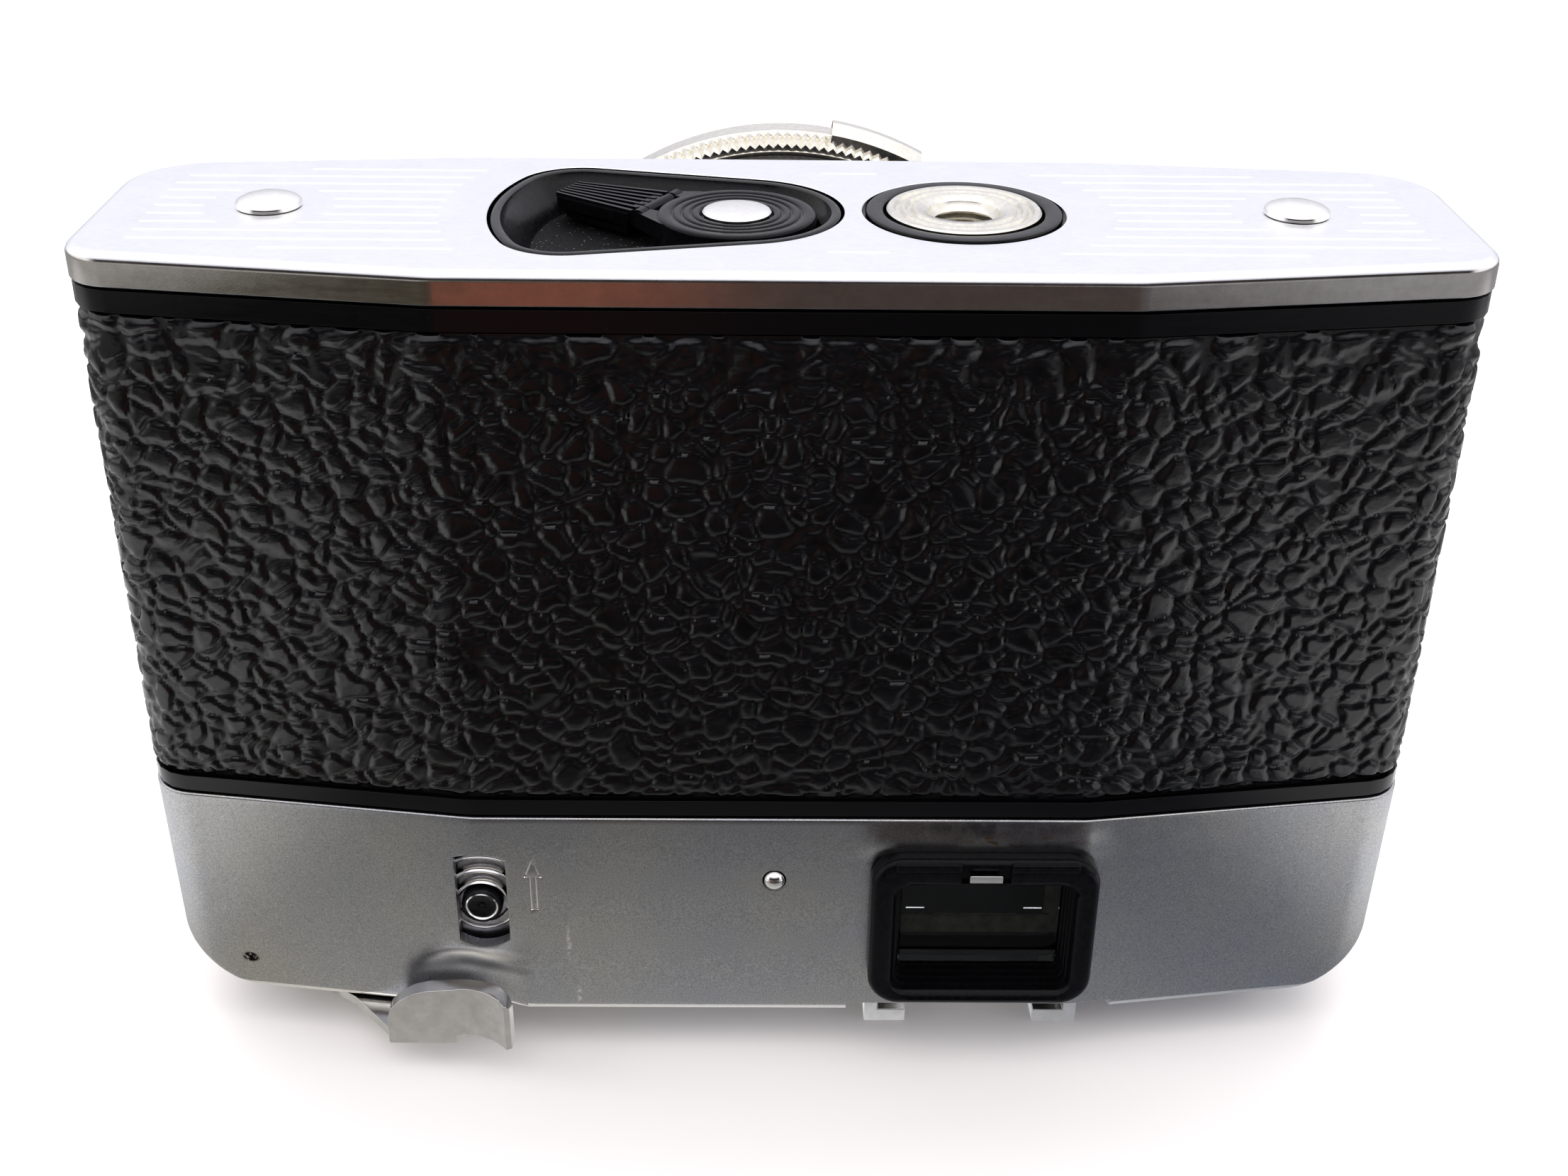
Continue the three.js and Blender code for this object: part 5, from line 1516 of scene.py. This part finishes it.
def lens_barrel():
    lens_ring("barrel", "lens_barrel", [
        (17.9, 15.85), (24.3, 15.85), (24.3, 16.7), (25.9, 16.7), (26.2, 16.9), (26.2, 18.2), (25.8, 18.4),
        (25.8, 18.8), (26.2, 19.0), (26.2, 22.1), (26.0, 22.3), (22.4, 22.3), (22.4, 30.9), (17.9, 30.9),
    ])


def focus_ring():
    """Ring with a fine pointed knurl, and the arc-shaped tab on its top side."""
    low, high = span("focus_ring")
    crest, root, bore, teeth = 28.0, 27.5, 22.75, 190
    shoulder = low.y + 1.5
    levels = []
    for y, outer, knurled in (
        (low.y, root - 0.35, 1), (low.y + 0.35, root, 1), (shoulder, crest - 0.1, 1), (shoulder + 0.15, crest - 0.1, 0),
        (shoulder + 0.3, crest, 0), (high.y - 0.3, crest, 0), (high.y, crest - 0.3, 0), (high.y, bore, 0),
        (low.y, bore, 0), (low.y, root - 1.1, 0), (low.y + 0.12, root - 1.0, 0), (low.y + 0.12, root - 0.7, 0),
    ):
        level = []
        for i in range(2 * teeth):
            a = math.pi * i / teeth
            r = outer - (0.42 if knurled and i % 2 else 0)
            level.append((r * math.cos(a), y, LENS_Z + r * math.sin(a)))
        levels.append(level)
    ring = loft("focus_grip", levels, ring=True)
    tab_r, start, end = high.z - LENS_Z, math.acos(14 / 29.4), math.acos(5 / 29.4)
    tab_outline = arc(0, LENS_Z, tab_r, start, end, 16) + arc(0, LENS_Z, root - 0.5, end, start, 16)
    slim = arc(0, LENS_Z, root + 0.7, start, end, 16) + arc(0, LENS_Z, root - 0.5, end, start, 16)
    tab = loft("tab", [
        [(x, y, z) for x, z in line]
        for line, y in ((slim, low.y + 0.9), (tab_outline, low.y + 2.6), (tab_outline, high.y - 1))
    ])
    weld_on(ring, tab)
    stand_in(shade(ring, 20), "focus_ring")


def exposure_ring():
    profile = [(22.7, 27.8), (25.2, 27.8), (25.4, 28.0), (25.4, 30.6), (25.2, 30.8), (22.7, 30.8)]
    ring = lathe("exposure_grip", profile, (0, LENS_Z), "Y", 160, ring=True)
    flutes = []
    count = 60
    for i in range(count):
        a = 2 * math.pi * i / count
        centre = (25.75 * math.cos(a), LENS_Z + 25.75 * math.sin(a))
        flutes.append(lathe("flute", [(0.55, 28.4), (0.55, 30.2)], centre, "Y", 10))
    carve(ring, merge("flutes", *flutes))
    stand_in(shade(ring), "exposure_ring")


def front_bezel():
    profile = [(9.6, 25.0), (17.6, 25.0), (17.6, 31.2), (24.4, 31.2), (24.4, 33.0), (24.25, 33.25), (23.8, 33.4)]
    profile += [(20.4, 33.4), (20.0, 33.25)]
    r, y = 19.4, 32.95
    while r > 10.4:
        profile += [(r, y), (r - 0.55, y)]
        r, y = r - 0.62, y - 0.27
    profile += [(9.6, 29.0)]
    lens_ring("bezel", "front_bezel", profile)


def glass_pieces():
    for node in ("front_lens_element", "rear_lens_element"):
        refine(node, 0.0)
        piece = bpy.data.objects[node + "_fine"]
        piece.data.materials.clear()
        piece.data.materials.append(COATED_GLASS)


# ---------------------------------------------------------------- pieces that keep the CAD shape

SOFTENED = {
    "body_casting": 0.09,
    "back_door": 0.09,
    "door_latch": 0.15,
    "advance_lever": 0.26,
    "lever_hub_cap": 0.12,
    "release_button": 0.12,
    "release_collar": 0.08,
    "accessory_shoe": 0.12,
    "front_window_frame": 0.2,
    "eyepiece_catch": 0.06,
    "shutter_housing": 0.1,
    "take_up_spool": 0.12,
    "sprocket_shaft": 0.06,
    "pressure_plate": 0.1,
    "pressure_spring": 0.05,
    "rewind_fork": 0.08,
}


def release_spring():
    """The coil under the release button, on a mesh of its own."""
    spring = refine("release_spring", 0.0)
    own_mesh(spring)


OTHER_FINISH = {"advance_lever": WORN_CHROME, "accessory_shoe": WORN_CHROME, "eyepiece_catch": MIRROR_STUD}


def carried_over():
    for node, width in SOFTENED.items():
        piece = refine(node, width)
        if node in OTHER_FINISH:
            piece.data.materials.clear()
            piece.data.materials.append(OTHER_FINISH[node])
    for name, node in frame["nodes"].items():
        if node.hide_render:
            continue
        node.data.materials.clear()
        node.data.materials.append(MATERIALS[SLOTS[name]])


# ---------------------------------------------------------------- the scene


def build():
    add_camera()
    add_floor()
    add_world()
    add_lights()
    back_leather()
    front_leather(-1, "front_leather_left")
    front_leather(1, "front_leather_right")
    base_cover()
    feet()
    tripod_bush()
    tripod_ring()
    crank_recess()
    crank_hub()
    crank_handle()
    crank_cap()
    top_cover()
    rewind_slider()
    indicator_pin()
    eyepiece()
    finder_mask()
    lens_barrel()
    focus_ring()
    exposure_ring()
    front_bezel()
    glass_pieces()
    release_spring()
    carried_over()
    bpy.context.scene.view_settings.view_transform = "Standard"
    bpy.context.scene.view_settings.look = "Medium High Contrast"


build()
